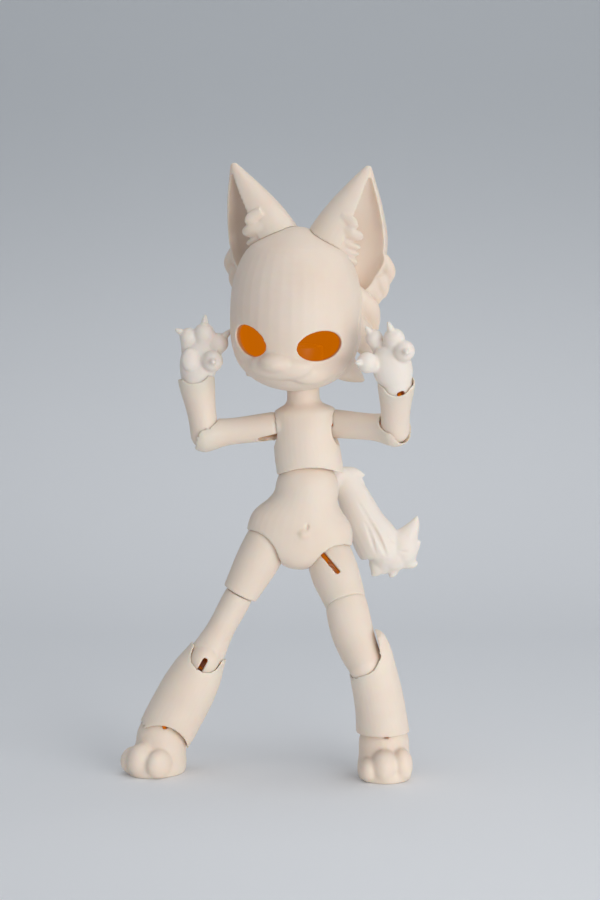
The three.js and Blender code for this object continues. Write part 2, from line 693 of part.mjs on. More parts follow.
function upperArmShape() {
  const r = upperArmRadius;
  return loft([
    ...domeStations(shoulderBallRadius, 1, 3),
    [0, shoulderBallRadius, shoulderBallRadius],
    [-0.3 * upperArmLength, r, r],
    [-0.6 * upperArmLength, 0.94 * r, 0.96 * r],
    [-0.8 * upperArmLength, 1.06 * r, 1.08 * r],
    [-0.9 * upperArmLength, elbowCupRadius, elbowCupRadius],
    [-0.98 * upperArmLength, elbowCupRadius, elbowCupRadius],
  ], 14);
}

function forearmShape() {
  const r = forearmRadius;
  return loft([
    ...domeStations(elbowBallRadius, 1, 3),
    [0, elbowBallRadius, elbowBallRadius],
    [-0.3 * forearmLength, r, r],
    [-0.6 * forearmLength, r, r],
    [-0.8 * forearmLength, 1.12 * r, 1.12 * r],
    [-0.93 * forearmLength, wristRimRadius, wristRimRadius],
    [-forearmLength, 0.97 * wristRimRadius, 0.97 * wristRimRadius],
  ], 14);
}

// Each row is a finger's root and tip and the aim of its claw, as shares of a finger's radius.
const fingerShares = [
  { rootShare: [-1, 0, -3.3], tipShare: [-1.6, -0.3, -4.8], clawShare: [-1, 0, -0.6] },
  { rootShare: [0.35, 0, -3.5], tipShare: [0.5, -0.3, -5.2], clawShare: [-0.1, 0, -1.2] },
  { rootShare: [1.4, 0, -2.9], tipShare: [2.1, -0.3, -4.2], clawShare: [0.55, 0, -0.9] },
  { rootShare: [1, -0.8, -1.9], tipShare: [1.7, -1.5, -2.3], clawShare: [0.1, -1, -0.3] },
];

// A paw: a palm with a raised pad, three fingers and a thumb, each with a claw. Its palm faces the front.
function handShape(side) {
  const f = fingerRadius;
  const palm = loft([
    ...domeStations(wristBallRadius, 1, 3),
    [0, wristBallRadius, wristBallRadius],
    [-1.2 * f, 1.4 * f, 1.2 * f],
    [-2.2 * f, 2.1 * f, 1.45 * f, side * 0.15 * f],
    [-3.3 * f, 2.15 * f, 1.35 * f, side * 0.2 * f],
    [-4.1 * f, 1.4 * f, 0.9 * f, side * 0.2 * f],
  ], 12);
  const pad = ellipsoid(at(1.15 * f, 0.7 * f, 1.4 * f), at(-side * 0.65 * f, -1.2 * f, -2.7 * f), 8, 6);
  const shapes = [palm, pad];
  for (const finger of fingerShares) {
    const placed = ([acrossShare, frontShare, alongShare]) => (
      at(side * acrossShare, frontShare, alongShare).multiplyScalar(f));
    const [root, tip, claw] = [finger.rootShare, finger.tipShare, finger.clawShare].map(placed);
    shapes.push(fingerLoft(root, tip, f));
    const aim = claw.normalize();
    const clawRoot = stepAlong(tip, aim, 0.55 * f);
    const clawTip = stepAlong(clawRoot, aim, clawLength);
    shapes.push(bar(clawRoot, clawTip, clawRadius, 6, 0.15 * clawRadius));
  }
  return join(...shapes);
}

// A round-ended finger from its root to the middle of its tip.
function fingerLoft(root, tip, radius) {
  const length = root.distanceTo(tip);
  const turn = new THREE.Quaternion().setFromUnitVectors(upright, tip.clone().sub(root).normalize());
  return loft([
    [-0.3 * radius, 0.8 * radius, 0.8 * radius],
    [0.6 * length, 0.98 * radius, 0.98 * radius],
    [length, 0.95 * radius, 0.95 * radius],
    [length + 0.6 * radius, 0.64 * radius, 0.64 * radius],
  ], 8).applyQuaternion(turn).translate(root.x, root.y, root.z);
}

for (const [name, arm] of Object.entries(arms)) {
  arm.bendAxis = arm.upper.clone().cross(arm.fore).normalize();
  const elbow = at(0, 0, -upperArmLength);
  const forearmSweep = sweep(clearance(elbowBallRadius, forearmRadius, 0.7 * forearmLength), arm.foreFrame,
    arm.upperFrame, arm.bendAxis, elbowTravel[name]);
  const slotDown = -arm.side * Math.PI / 2;
  const upper = cut(upperArmShape(),
    cordSlot(shoulderBallRadius, -0.2 * shoulderBallRadius, slotDown),
    cordBore(0, -upperArmLength), socketBall(elbowBallRadius + runningGap, elbow), ...forearmSweep);
  addPiece(arm.upperFrame, `upper_arm_${name}`, upper, creamResin());
  const cordFoot = -upperArmLength + elbowBallRadius + 2 * runningGap - 2 * cordRadius;
  addPiece(arm.upperFrame, `upper_arm_cord_${name}`, cordStretch(0, cordFoot), cordFinish());

  const wrist = at(0, 0, -forearmLength);
  const forearm = cut(forearmShape(),
    cordSlot(elbowBallRadius, -0.2 * elbowBallRadius, arm.side * Math.PI / 2),
    cordBore(0, -forearmLength), socketBall(wristBallRadius + runningGap, wrist));
  addPiece(arm.foreFrame, `forearm_${name}`, forearm, creamResin());
  const hookRise = 1.7 * wristBallRadius;
  const foreCordFoot = -forearmLength + hookRise - cordRadius;
  addPiece(arm.foreFrame, `forearm_cord_${name}`, cordStretch(0, foreCordFoot), cordFinish());

  const barHalf = 0.55 * wristBallRadius;
  const hookBar = bar(at(-barHalf, 0, 0), at(barHalf, 0, 0), wireRadius, 8);
  const hookStem = bar(at(0, 0, 0), at(0, 0, hookRise), wireRadius, 8);
  addPiece(arm.wristFrame, `hand_hook_${name}`, join(hookBar, hookStem), steelFinish());
  const stemHalf = wireRadius + seatGap;
  const stemSlot = block(at(-stemHalf, -wristBallRadius - overrun, -stemHalf),
    at(stemHalf, 0.75 * wristBallRadius, wristBallRadius + overrun));
  const barHole = bar(at(-barHalf - seatGap, 0, 0), at(barHalf + seatGap, 0, 0),
    stemHalf / Math.cos(Math.PI / 8), 8);
  const holes = carried(join(barHole, stemSlot), arm.wristFrame, arm.handFrame);
  addPiece(arm.handFrame, `hand_${name}`, cut(handShape(arm.side), holes), creamResin());
}

// Head

// The chin hangs a little below the point that the head turns on.
const headCentreRise = headChinShare * headHeight - chinDrop;
const headCentre = at(0, -headCentreForward, headCentreRise);
// Each row is height, width and depth of one ring, as shares of the head's height, width and depth.
const headCrownShare = 0.583;
const headRingShares = [
  [headCrownShare, 0.06, 0.06], [0.565, 0.23, 0.23], [0.505, 0.54, 0.54], [0.43, 0.78, 0.78],
  [0.275, 0.95, 0.95], [0.13, 1, 1], [-0.03, 1, 1], [-0.13, 0.975, 0.97], [-0.245, 0.88, 0.88],
  [-0.335, 0.68, 0.7], [-0.39, 0.42, 0.46], [-headChinShare, 0.15, 0.2],
];

function headDome(shrink, sides = 22) {
  const height = headHeight - 2 * shrink;
  const halfWidth = headWidth / 2 - shrink;
  const halfDepth = headDepth / 2 - shrink;
  return loft(headRingShares.map(([heightShare, widthShare, depthShare]) => [
    headCentre.z + heightShare * height, widthShare * halfWidth, depthShare * halfDepth, 0,
    headCentre.y]), sides);
}

// The plane between face plate and cap leans back from the chin to the crown.
const splitLean = Math.atan2(0.45 * headCentreForward + 0.22 * headDepth, headHeight);
function headHalf(front, gap) {
  const reach = 2 * headHeight;
  const slab = front ? block(at(-reach, -reach, -reach), at(reach, -gap, reach))
    : block(at(-reach, gap, -reach), at(reach, reach, reach));
  return slab.rotateX(-splitLean).translate(headCentre.x, headCentre.y - faceSplitOffset, headCentre.z);
}

const muzzle = ellipsoid(at(muzzleWidth / 2, 2 * muzzleReach, muzzleHeight / 2),
  at(0, headCentre.y - 0.46 * headDepth + muzzleReach, headCentre.z - muzzleDrop), 12, 8);
const neckSocketRadius = neckRadius + runningGap;
const neckSeatRadius = neckSocketRadius + 0.8 * castWall;
const innerDome = headDome(castWall, 14);
// The head's shapes are made about its own middle. Then they are shifted, so that the neck is off centre.
const neckSpot = at(-headCentreShift, 0, 0);
const shiftedHead = (geometry) => geometry.translate(headCentreShift, 0, 0);
const neckSeatBall = ellipsoid(at(neckSeatRadius, neckSeatRadius, neckSeatRadius), neckSpot, 14, 8);
const neckSeat = keepInside(neckSeatBall, headDome(seatGap));
const magnetSpan = headWidth / 2 - castWall - 0.7 * magnetRadius;
const splitSpot = at(0, headCentre.y - faceSplitOffset, headCentre.z);
const magnetBosses = [-1, 1].map((side) => keepInside(
  ellipsoid(at(2.2 * magnetRadius, 2.6 * magnetRadius, 2.4 * magnetRadius),
    at(side * magnetSpan, splitSpot.y, splitSpot.z), 8, 6), headDome(seatGap)));

// Magnets stand square to the parting plane, one in each half, and face each other across it.
function magnetBar(side, front, radius, length, inset) {
  const facing = front ? -1 : 1;
  const near = at(side * magnetSpan, facing * inset, 0);
  return bar(near, at(side * magnetSpan, facing * (inset + length), 0), radius, 12)
    .rotateX(-splitLean).translate(0, splitSpot.y, splitSpot.z);
}

const neckPath = loft([
  [0, neckSocketRadius, neckSocketRadius],
  [-2 * neckRadius, 1.6 * neckSocketRadius, 1.6 * neckSocketRadius],
], 18).translate(neckSpot.x, 0, 0);
const hookStemHalf = wireRadius + seatGap;
const hookSlot = carried(block(at(-hookStemHalf, -0.42 * neckSeatRadius, 0),
  at(hookStemHalf, 0.42 * neckSeatRadius, 2 * neckRadius)), neckFrame, headFrame)
  .translate(neckSpot.x, 0, 0);
const headShell = join(cut(join(headDome(0), muzzle), innerDome), neckSeat, ...magnetBosses);

const eyeCutters = [-1, 1].map((side) => new THREE.CylinderGeometry(1, 1, 0.4 * headDepth, 18)
  .scale(eyeWidth / 2, 1, eyeHeight / 2).rotateY(-side * eyeTilt * degree)
  .translate(0, -0.5 * headDepth, 0).rotateZ(side * eyeAngle * degree)
  .translate(0, headCentre.y, headCentre.z - eyeDrop));

const pocketRadius = (magnetRadius + seatGap) / Math.cos(Math.PI / 12);
const pocketLength = magnetLength + 3 * seatGap;
const pockets = (front) => [-1, 1].map((side) => (
  magnetBar(side, front, pocketRadius, pocketLength, -seatGap)));
const facePlate = cut(keepInside(headShell, headHalf(true, seatGap / 2)), ...eyeCutters,
  socketBall(neckSeatRadius + seatGap, neckSpot), ...pockets(true));
addPiece(headFrame, 'face_plate', shiftedHead(facePlate), creamResin());

// An ear is shaped standing on its base with its opening to the front, then turned and leant outwards.
function earBlank() {
  const half = earWidth / 2;
  const deep = earDepth / 2;
  return loft([
    [-0.3 * earLength, 0.4 * half, 0.4 * deep, -0.35 * half],
    [-0.13 * earLength, 0.74 * half, 0.72 * deep, -0.18 * half],
    [0.02 * earLength, 0.96 * half, 0.95 * deep, -0.03 * half],
    [0.22 * earLength, 0.93 * half, 0.94 * deep],
    [0.5 * earLength, 0.69 * half, 0.75 * deep, 0.04 * half],
    [0.75 * earLength, 0.39 * half, 0.46 * deep, 0.09 * half],
    [0.92 * earLength, 0.17 * half, 0.24 * deep, 0.13 * half],
    [earLength, 0.06 * half, 0.08 * deep, 0.15 * half],
  ], 14);
}

function earHollow() {
  const half = earWidth / 2 - earWall;
  const deep = earDepth / 2;
  const forward = -0.62 * deep;
  return loft([
    [0, 0.5 * half, 0.6 * deep, 0, forward],
    [0.22 * earLength, 0.84 * half, 0.98 * deep, 0, forward],
    [0.5 * earLength, 0.62 * half, 0.84 * deep, 0.05 * half, 1.1 * forward],
    [0.72 * earLength, 0.34 * half, 0.6 * deep, 0.1 * half, 1.1 * forward],
    [0.88 * earLength, 0.08 * half, 0.3 * deep, 0.14 * half, 0.7 * forward],
  ], 12);
}

const earTurn = turnAbout(sideways, earLeanForwardAngle)
  .multiply(turnAbout(frontBack, earLeanOutAngle))
  .multiply(turnAbout(upright, earOpeningAngle));
const headCrown = headCentre.z + headCrownShare * headHeight;
const earBase = at(earSpread, earSetBack, headCrown - earSeatDrop);
const placeEar = (geometry) => geometry.applyQuaternion(earTurn).translate(earBase.x, earBase.y, earBase.z);
const earDown = upright.clone().negate().applyQuaternion(earTurn);

// The peg stands in the ear's thick back and reaches down into the cap.
const earPegSpot = earBase.clone().add(at(0, 0.28 * earDepth, 0).applyQuaternion(earTurn));
function earPegBar(radius, extra) {
  const rise = 0.3 * earLength;
  const reach = 0.16 * earLength + earPegLength + extra;
  return bar(stepAlong(earPegSpot, earDown, -rise), stepAlong(earPegSpot, earDown, reach), radius, 12);
}

function lock(from, to, radius, sides = 6) {
  return bar(at(...from), at(...to), radius, sides, 0.12 * radius);
}

function earShape() {
  const half = earWidth / 2;
  const fluff = [0.2, 0.34, 0.47].map((heightShare, index) => ellipsoid(
    at(0.2 * half, 0.2 * earDepth, 0.11 * earLength),
    at(-(0.74 - 0.09 * index) * half, -0.16 * earDepth, heightShare * earLength), 6, 5));
  const tufts = [0.06, 0.22].map((heightShare, index) => lock(
    [0.6 * half, 0, (heightShare + 0.08) * earLength],
    [(1.2 - 0.06 * index) * half, 0, (heightShare - 0.12) * earLength], 0.26 * half));
  const blank = join(cut(earBlank(), earHollow()), ...fluff, ...tufts);
  const seated = cut(placeEar(blank), headDome(-seatGap));
  return join(seated, earPegBar(earPegRadius, 0));
}

const mirrored = (geometry, side) => (side < 0 ? geometry.clone().scale(-1, 1, 1) : geometry.clone());
const rightEar = earShape();
const earPegHole = earPegBar((earPegRadius + seatGap) / Math.cos(Math.PI / 12), 2 * seatGap);
const furLocks = [
  lock([0.4 * headWidth, 0.08 * headDepth, 0.16 * headHeight],
    [0.56 * headWidth, 0.12 * headDepth, 0.02 * headHeight], 0.1 * headWidth),
  lock([0.45 * headWidth, 0.1 * headDepth, 0.4 * headHeight],
    [0.58 * headWidth, 0.16 * headDepth, 0.29 * headHeight], 0.07 * headWidth),
];
const bothSides = (shapes) => [-1, 1].flatMap((side) => shapes.map((shape) => mirrored(shape, side)));
const capShell = cut(join(headShell, ...bothSides(furLocks)), innerDome);
const capHalf = keepInside(join(capShell, neckSeat, ...magnetBosses), headHalf(false, seatGap / 2));
const headCap = cut(capHalf, socketBall(neckSocketRadius, neckSpot), neckPath, hookSlot,
  ...pockets(false), ...bothSides([earPegHole]));
addPiece(headFrame, 'head_cap', shiftedHead(headCap), creamResin());
for (const [name, side] of [['left', -1], ['right', 1]]) {
  addPiece(headFrame, `ear_${name}`, shiftedHead(mirrored(rightEar, side)), creamResin());
  const faceMagnet = shiftedHead(magnetBar(side, true, magnetRadius, magnetLength, seatGap / 2));
  const capMagnet = shiftedHead(magnetBar(side, false, magnetRadius, magnetLength, seatGap / 2));
  addPiece(headFrame, `face_magnet_${name}`, faceMagnet, steelFinish());
  addPiece(headFrame, `cap_magnet_${name}`, capMagnet, steelFinish());
}

// The hook's bar lies across the top of the neck seat, and its stem hangs into the neck.
const neckBarRise = neckSeatRadius + seatGap + wireRadius;
const neckBarHalf = 0.6 * neckRadius;
const neckBar = bar(at(-neckBarHalf, 0, neckBarRise), at(neckBarHalf, 0, neckBarRise), wireRadius, 8);
const neckStem = bar(at(0, 0, -2 * cordRadius + seatGap), at(0, 0, neckBarRise), wireRadius, 8);
addPiece(neckFrame, 'neck_hook', join(neckBar, neckStem), steelFinish());

// Tail: a thick brush that rises from its peg, turns over to the right and hangs, with pointed tufts.
const tailFrame = frameAt('tail_frame', pelvisFrame, pointFrom(pelvisFrame, tailRoot),
  new THREE.Quaternion());
const tailSpineShares = [
  [0, 0, 0], [0.175, 0.35, 0.35], [0.46, 0.47, 0.45], [0.7, 0.475, 0.05],
  [0.9, 0.45, -0.275], [1.12, 0.4, -0.65], [1.1, 0.375, -0.975], [0.97, 0.375, -1.14],
];
const tailRadiusShares = [0.11, 0.19, 0.25, 0.29, 0.31, 0.34, 0.38, 0.44, 0.49, 0.48, 0.38, 0.22, 0.06];
const tailPoint = ([acrossShare, backShare, upShare]) => (
  at(acrossShare, backShare, upShare).multiplyScalar(tailThickness));
const tailFlatness = 0.76;
const tailRadii = tailRadiusShares.map((share) => share * tailThickness);
const tailBody = loftAlong(tailSpineShares.map(tailPoint), tailRadii, tailFlatness, 16);
// Each row is a tuft's root, its tip and its thickness, as shares of the tail's thickness.
const tailTuftShares = [
  [[0.5, 0.45, 0.3], [0.83, 0.45, 0.53], 0.18],
  [[1, 0.42, -0.42], [1.66, 0.42, -0.13], 0.26],
  [[1.08, 0.4, -0.62], [1.72, 0.4, -0.7], 0.3],
  [[1.05, 0.38, -0.86], [1.5, 0.38, -1.02], 0.24],
];
const tailTufts = tailTuftShares.map(([root, tip, radiusShare]) => bar(tailPoint(root), tailPoint(tip),
  radiusShare * tailThickness, 8, 0.1 * radiusShare * tailThickness));
const tailPeg = bar(at(0, -tailPegLength, 0), at(0, 0.12 * tailThickness, 0), tailPegRadius, 14);
const pelvisBack = carried(pelvisShape(), pelvisFrame, tailFrame).translate(0, seatGap, 0);
addPiece(tailFrame, 'tail', join(cut(join(tailBody, ...tailTufts), pelvisBack), tailPeg), creamResin());

// The origin is under the middle of the whole doll, at the height of its soles.
doll.updateMatrixWorld(true);
const bounds = new THREE.Box3().setFromObject(doll, true);
const middle = bounds.getCenter(new THREE.Vector3());
doll.position.set(-middle.x, -middle.y, -bounds.min.z);

export default doll;
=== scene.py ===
"""Looks of a ball jointed fox doll: matte cream resin castings strung on elastic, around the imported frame.

Each casting is sculpted in its own limb's frame, in millimetres, with the centre of its upper ball at the
origin, the limb hanging along -Z and its front towards -Y. It is then carried to its joint in the row
frame, in metres. "Left" and "right" are the viewer's.
"""

import json
import logging
import math
from dataclasses import dataclass, field
from enum import Enum
from typing import Sequence

import bmesh
import bpy
from mathutils import Matrix, Quaternion, Vector
from mathutils.bvhtree import BVHTree


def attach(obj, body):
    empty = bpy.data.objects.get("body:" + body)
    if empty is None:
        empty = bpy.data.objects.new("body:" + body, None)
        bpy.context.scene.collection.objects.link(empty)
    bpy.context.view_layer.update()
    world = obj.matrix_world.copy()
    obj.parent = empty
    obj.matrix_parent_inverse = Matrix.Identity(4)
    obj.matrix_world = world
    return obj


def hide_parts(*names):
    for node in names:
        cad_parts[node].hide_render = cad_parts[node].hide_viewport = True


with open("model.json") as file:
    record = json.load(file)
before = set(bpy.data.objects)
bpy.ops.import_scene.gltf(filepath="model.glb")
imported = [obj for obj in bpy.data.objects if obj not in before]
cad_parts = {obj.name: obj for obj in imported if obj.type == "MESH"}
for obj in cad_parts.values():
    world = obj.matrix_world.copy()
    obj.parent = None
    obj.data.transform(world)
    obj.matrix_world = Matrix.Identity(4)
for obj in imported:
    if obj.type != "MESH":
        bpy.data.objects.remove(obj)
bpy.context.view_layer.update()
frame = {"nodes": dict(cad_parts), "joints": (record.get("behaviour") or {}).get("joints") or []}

LOG = logging.getLogger("fox_doll")
MM = 0.001
UP = Vector((0.0, 0.0, 1.0))
BACK = Vector((0.0, 1.0, 0.0))
ACROSS = Vector((1.0, 0.0, 0.0))
# Sizes of the castings are in millimetres.
RUNNING_GAP = 0.35
SEAT_GAP = 0.3
CORD_RADIUS = 1.1
WIRE_RADIUS = 0.6
CHANNEL_RADIUS = CORD_RADIUS + SEAT_GAP
# A cut reaches this far past what it cuts.
FAR = 30.0


class Side(Enum):
    """The viewer's left or right, whose value is the sign of its X."""

    LEFT = -1
    RIGHT = 1

    @property
    def word(self) -> str:
        """The ending that node and body names take on this side."""
        return self.name.lower()


class Grade(Enum):
    """How finely a casting is sculpted: the value is the size of its facets in millimetres."""

    FINE = 0.3
    PLAIN = 0.36
    BROAD = 0.42


# Materials


def linear(code: str) -> tuple[float, float, float, float]:
    """Turns an sRGB hex colour into Blender's linear colour.

    Args:
        code: The colour as "#rrggbb".

    Returns:
        Linear red, green and blue, and an alpha of 1.
    """
    parts = [int(code[start:start + 2], 16) / 255 for start in (1, 3, 5)]
    curve = [part / 12.92 if part <= 0.04045 else ((part + 0.055) / 1.055) ** 2.4 for part in parts]
    return (curve[0], curve[1], curve[2], 1.0)


def add_node(tree: bpy.types.NodeTree, kind: str, settings: dict | None = None,
             inputs: dict | None = None) -> bpy.types.Node:
    """Adds a node with its settings, its values and its links.

    Args:
        tree: The node tree that gets it.
        kind: The node's type.
        settings: The node's own properties by name.
        inputs: Its input sockets by name, each with a value or with the output socket that feeds it.

    Returns:
        The new node.
    """
    node = tree.nodes.new(kind)
    for name, value in (settings or {}).items():
        setattr(node, name, value)
    for name, value in (inputs or {}).items():
        if isinstance(value, bpy.types.NodeSocket):
            tree.links.new(value, node.inputs[name])
        else:
            node.inputs[name].default_value = value
    return node


def blank_material(name: str) -> bpy.types.Material:
    """Makes an empty node material.

    Args:
        name: The material's name.

    Returns:
        The material, whose tree holds only its output node.
    """
    material = bpy.data.materials.new(name)
    material.use_nodes = True
    material.node_tree.nodes.clear()
    add_node(material.node_tree, "ShaderNodeOutputMaterial")
    return material


def show(material: bpy.types.Material, shader: bpy.types.Node) -> bpy.types.Material:
    """Links a shader to the material's output.

    Args:
        material: The material.
        shader: The node whose first output is shown.

    Returns:
        The same material.
    """
    tree = material.node_tree
    output = next(node for node in tree.nodes if node.type == "OUTPUT_MATERIAL")
    tree.links.new(shader.outputs[0], output.inputs["Surface"])
    return material


@dataclass(frozen=True)
class CastResin:
    """Polyurethane casting resin: sanded matte cream outside, with painted shade in its hollows and carved
    recesses, and a painted orange glow deep inside, which stands for the light that soaks through its walls.
    """

    name: str = "cast_cream_resin"
    light: str = "#f1e5d7"
    warm: str = "#ebd6c2"
    # Painted shade: the brown that carved recesses darken to.
    tan: str = "#c79a6c"
    # Painted glow: its dark ground and its orange emission, deep inside.
    amber: str = "#120700"
    glow: str = "#bd6000"
    # Painted shade: the warm colour that hollows darken to.
    blush: str = "#bb9478"
    roughness: float = 0.52
    # The sanding marks are about 0.1 mm wide, drawn at 0.35 mm so that they show at all.
    grit_mm: float = 0.35
    cloud_mm: float = 14.0
    glow_strength: float = 1.0
    # Depths in millimetres where the painted shade of recesses starts, where the painted glow starts and where it
    # is full.
    tan_from_mm: float = 0.6
    amber_from_mm: float = 1.6
    amber_full_mm: float = 4.0

    def make(self) -> bpy.types.Material:
        """Builds the material's nodes.

        Returns:
            The material.
        """
        material = blank_material(self.name)
        tree = material.node_tree
        place = add_node(tree, "ShaderNodeTexCoord")
        cloud = add_node(tree, "ShaderNodeTexNoise", inputs={
            "Vector": place.outputs["Object"], "Scale": 1 / (self.cloud_mm * MM), "Detail": 2.0})
        sanded = add_node(tree, "ShaderNodeMixRGB", inputs={
            "Fac": cloud.outputs["Fac"], "Color1": linear(self.light), "Color2": linear(self.warm)})
        # How far the surface lies below the outside of its casting, in millimetres: the mask of the painted shade
        # in recesses and of the painted glow.
        depth = add_node(tree, "ShaderNodeAttribute", {"attribute_name": "depth_mm"})
        # Painted shade: carved recesses darken to brown with their depth.
        shade = add_node(tree, "ShaderNodeMapRange", {"interpolation_type": "SMOOTHSTEP"}, {
            "Value": depth.outputs["Fac"], "From Min": self.tan_from_mm, "From Max": self.amber_from_mm})
        # Painted glow: deeper still, the colour fades to a dark ground under an orange emission, which stands for
        # light seen through the walls.
        soak = add_node(tree, "ShaderNodeMapRange", {"interpolation_type": "SMOOTHSTEP"}, {
            "Value": depth.outputs["Fac"], "From Min": self.amber_from_mm, "From Max": self.amber_full_mm,
            "To Max": self.glow_strength})
        # Painted shade: hollows take a warm, darker tone, for the shade between their walls.
        hollow = add_node(tree, "ShaderNodeAttribute", {"attribute_name": "blush"})
        hollow_shaded = add_node(tree, "ShaderNodeMixRGB", inputs={
            "Fac": hollow.outputs["Fac"], "Color1": sanded.outputs["Color"], "Color2": linear(self.blush)})
        shaded = add_node(tree, "ShaderNodeMixRGB", inputs={
            "Fac": shade.outputs["Result"], "Color1": hollow_shaded.outputs["Color"], "Color2": linear(self.tan)})
        tone = add_node(tree, "ShaderNodeMixRGB", inputs={
            "Fac": soak.outputs["Result"], "Color1": shaded.outputs["Color"], "Color2": linear(self.amber)})
        grit = add_node(tree, "ShaderNodeTexNoise", inputs={
            "Vector": place.outputs["Object"], "Scale": 1 / (self.grit_mm * MM), "Detail": 3.0})
        rubbed = add_node(tree, "ShaderNodeBump", inputs={
            "Height": grit.outputs["Fac"], "Distance": 0.012 * MM, "Strength": 0.5})
        shader = add_node(tree, "ShaderNodeBsdfPrincipled", inputs={
            "Base Color": tone.outputs["Color"], "Roughness": self.roughness, "IOR": 1.49,
            "Specular IOR Level": 0.35, "Subsurface Weight": 0.35, "Subsurface Scale": 2.4 * MM,
            "Subsurface Radius": (1.0, 0.55, 0.3), "Normal": rubbed.outputs["Normal"],
            "Emission Color": linear(self.glow), "Emission Strength": soak.outputs["Result"]})
        return show(material, shader)


@dataclass(frozen=True)
class BraidedElastic:
    """Round braided elastic: off-white, dull, with the fine slant of its braid."""

    name: str = "braided_elastic"
    light: str = "#f1eee6"
    dark: str = "#c9c4b8"
    braid_mm: float = 0.8

    def make(self) -> bpy.types.Material:
        """Builds the material's nodes.

        Returns:
            The material.
        """
        material = blank_material(self.name)
        tree = material.node_tree
        place = add_node(tree, "ShaderNodeTexCoord")
        braid = add_node(tree, "ShaderNodeTexWave", {"bands_direction": "DIAGONAL"}, {
            "Vector": place.outputs["Object"], "Scale": 0.3 / (self.braid_mm * MM), "Distortion": 2.0})
        tone = add_node(tree, "ShaderNodeMixRGB", inputs={
            "Fac": braid.outputs["Fac"], "Color1": linear(self.dark), "Color2": linear(self.light)})
        ridges = add_node(tree, "ShaderNodeBump", inputs={
            "Height": braid.outputs["Fac"], "Distance": 0.08 * MM, "Strength": 0.6})
        shader = add_node(tree, "ShaderNodeBsdfPrincipled", inputs={
            "Base Color": tone.outputs["Color"], "Roughness": 0.85, "Normal": ridges.outputs["Normal"]})
        return show(material, shader)


@dataclass(frozen=True)
class BrightMetal:
    """Bent steel wire or a nickel-plated disc: grey metal with faint drawing or plating marks."""

    name: str = "drawn_steel_wire"
    colour: str = "#b9bcc0"
    roughness: float = 0.28
    mark_mm: float = 0.6

    def make(self) -> bpy.types.Material:
        """Builds the material's nodes.

        Returns:
            The material.
        """
        material = blank_material(self.name)
        tree = material.node_tree
        place = add_node(tree, "ShaderNodeTexCoord")
        marks = add_node(tree, "ShaderNodeTexNoise", inputs={
            "Vector": place.outputs["Object"], "Scale": 1 / (self.mark_mm * MM), "Detail": 2.0})
        gloss = add_node(tree, "ShaderNodeMapRange", inputs={
            "Value": marks.outputs["Fac"], "To Min": self.roughness - 0.06, "To Max": self.roughness + 0.1})
        shader = add_node(tree, "ShaderNodeBsdfPrincipled", inputs={
            "Base Color": linear(self.colour), "Metallic": 1.0, "Roughness": gloss.outputs["Result"]})
        return show(material, shader)


@dataclass(frozen=True)
class StudioPaper:
    """Wide studio paper that sweeps up behind the doll: pale grey-blue, lighter on the floor."""

    name: str = "studio_paper"
    floor: str = "#f1f2f4"
    wall: str = "#c6c9cc"
    fibre_mm: float = 3.0

    def make(self) -> bpy.types.Material:
        """Builds the material's nodes.

        Returns:
            The material.
        """
        material = blank_material(self.name)
        tree = material.node_tree
        place = add_node(tree, "ShaderNodeTexCoord")
        height = add_node(tree, "ShaderNodeSeparateXYZ", inputs={"Vector": place.outputs["Object"]})
        climb = add_node(tree, "ShaderNodeMapRange", {"interpolation_type": "SMOOTHSTEP"}, {
            "Value": height.outputs["Z"], "From Min": 0.0, "From Max": 0.28})
        tone = add_node(tree, "ShaderNodeMixRGB", inputs={
            "Fac": climb.outputs["Result"], "Color1": linear(self.floor), "Color2": linear(self.wall)})
        fibres = add_node(tree, "ShaderNodeTexNoise", inputs={
            "Vector": place.outputs["Object"], "Scale": 1 / (self.fibre_mm * MM), "Detail": 4.0})
        grain = add_node(tree, "ShaderNodeBump", inputs={
            "Height": fibres.outputs["Fac"], "Distance": 0.1 * MM, "Strength": 0.3})
        shader = add_node(tree, "ShaderNodeBsdfPrincipled", inputs={
            "Base Color": tone.outputs["Color"], "Roughness": 0.9, "Specular IOR Level": 0.1,
            "Normal": grain.outputs["Normal"]})
        # Its back lets the eye through, so that the doll can be seen from behind.
        facing = add_node(tree, "ShaderNodeNewGeometry")
        nothing = add_node(tree, "ShaderNodeBsdfTransparent")
        seen = add_node(tree, "ShaderNodeMixShader", inputs={
            0: facing.outputs["Backfacing"], 1: shader.outputs[0], 2: nothing.outputs[0]})
        return show(material, seen)


# Shapes


@dataclass(frozen=True)
class Ring:
    """One ring of a turned or swept shape, in millimetres: its height, half sizes and shifts."""

    height: float
    half_width: float
    half_depth: float
    shift: float = 0.0
    back: float = 0.0

    def place(self) -> Matrix:
        """Returns the matrix that lays a unit circle where the ring is."""
        size = Matrix.Diagonal((self.half_width, self.half_depth, 1.0, 1.0))
        return Matrix.Translation((self.shift, self.back, self.height)) @ size


def rings(*rows: Sequence[float]) -> list[Ring]:
    """Returns a table of rings, each row of which holds a ring's values in order."""
    return [Ring(*row) for row in rows]


def spline(before: float, here: float, after: float, beyond: float, share: float) -> float:
    """Eases from one value to the next along a Catmull-Rom curve.

    Args:
        before: The value before this one.
        here: The value that the step starts at.
        after: The value that it ends at.
        beyond: The value after that.
        share: How far along the step it is, from 0 to 1.

    Returns:
        The value there.
    """
    square, cube = share * share, share ** 3
    return 0.5 * (2 * here + (after - before) * share + (2 * before - 5 * here + 4 * after - beyond) * square
                  + (3 * here - before - 3 * after + beyond) * cube)


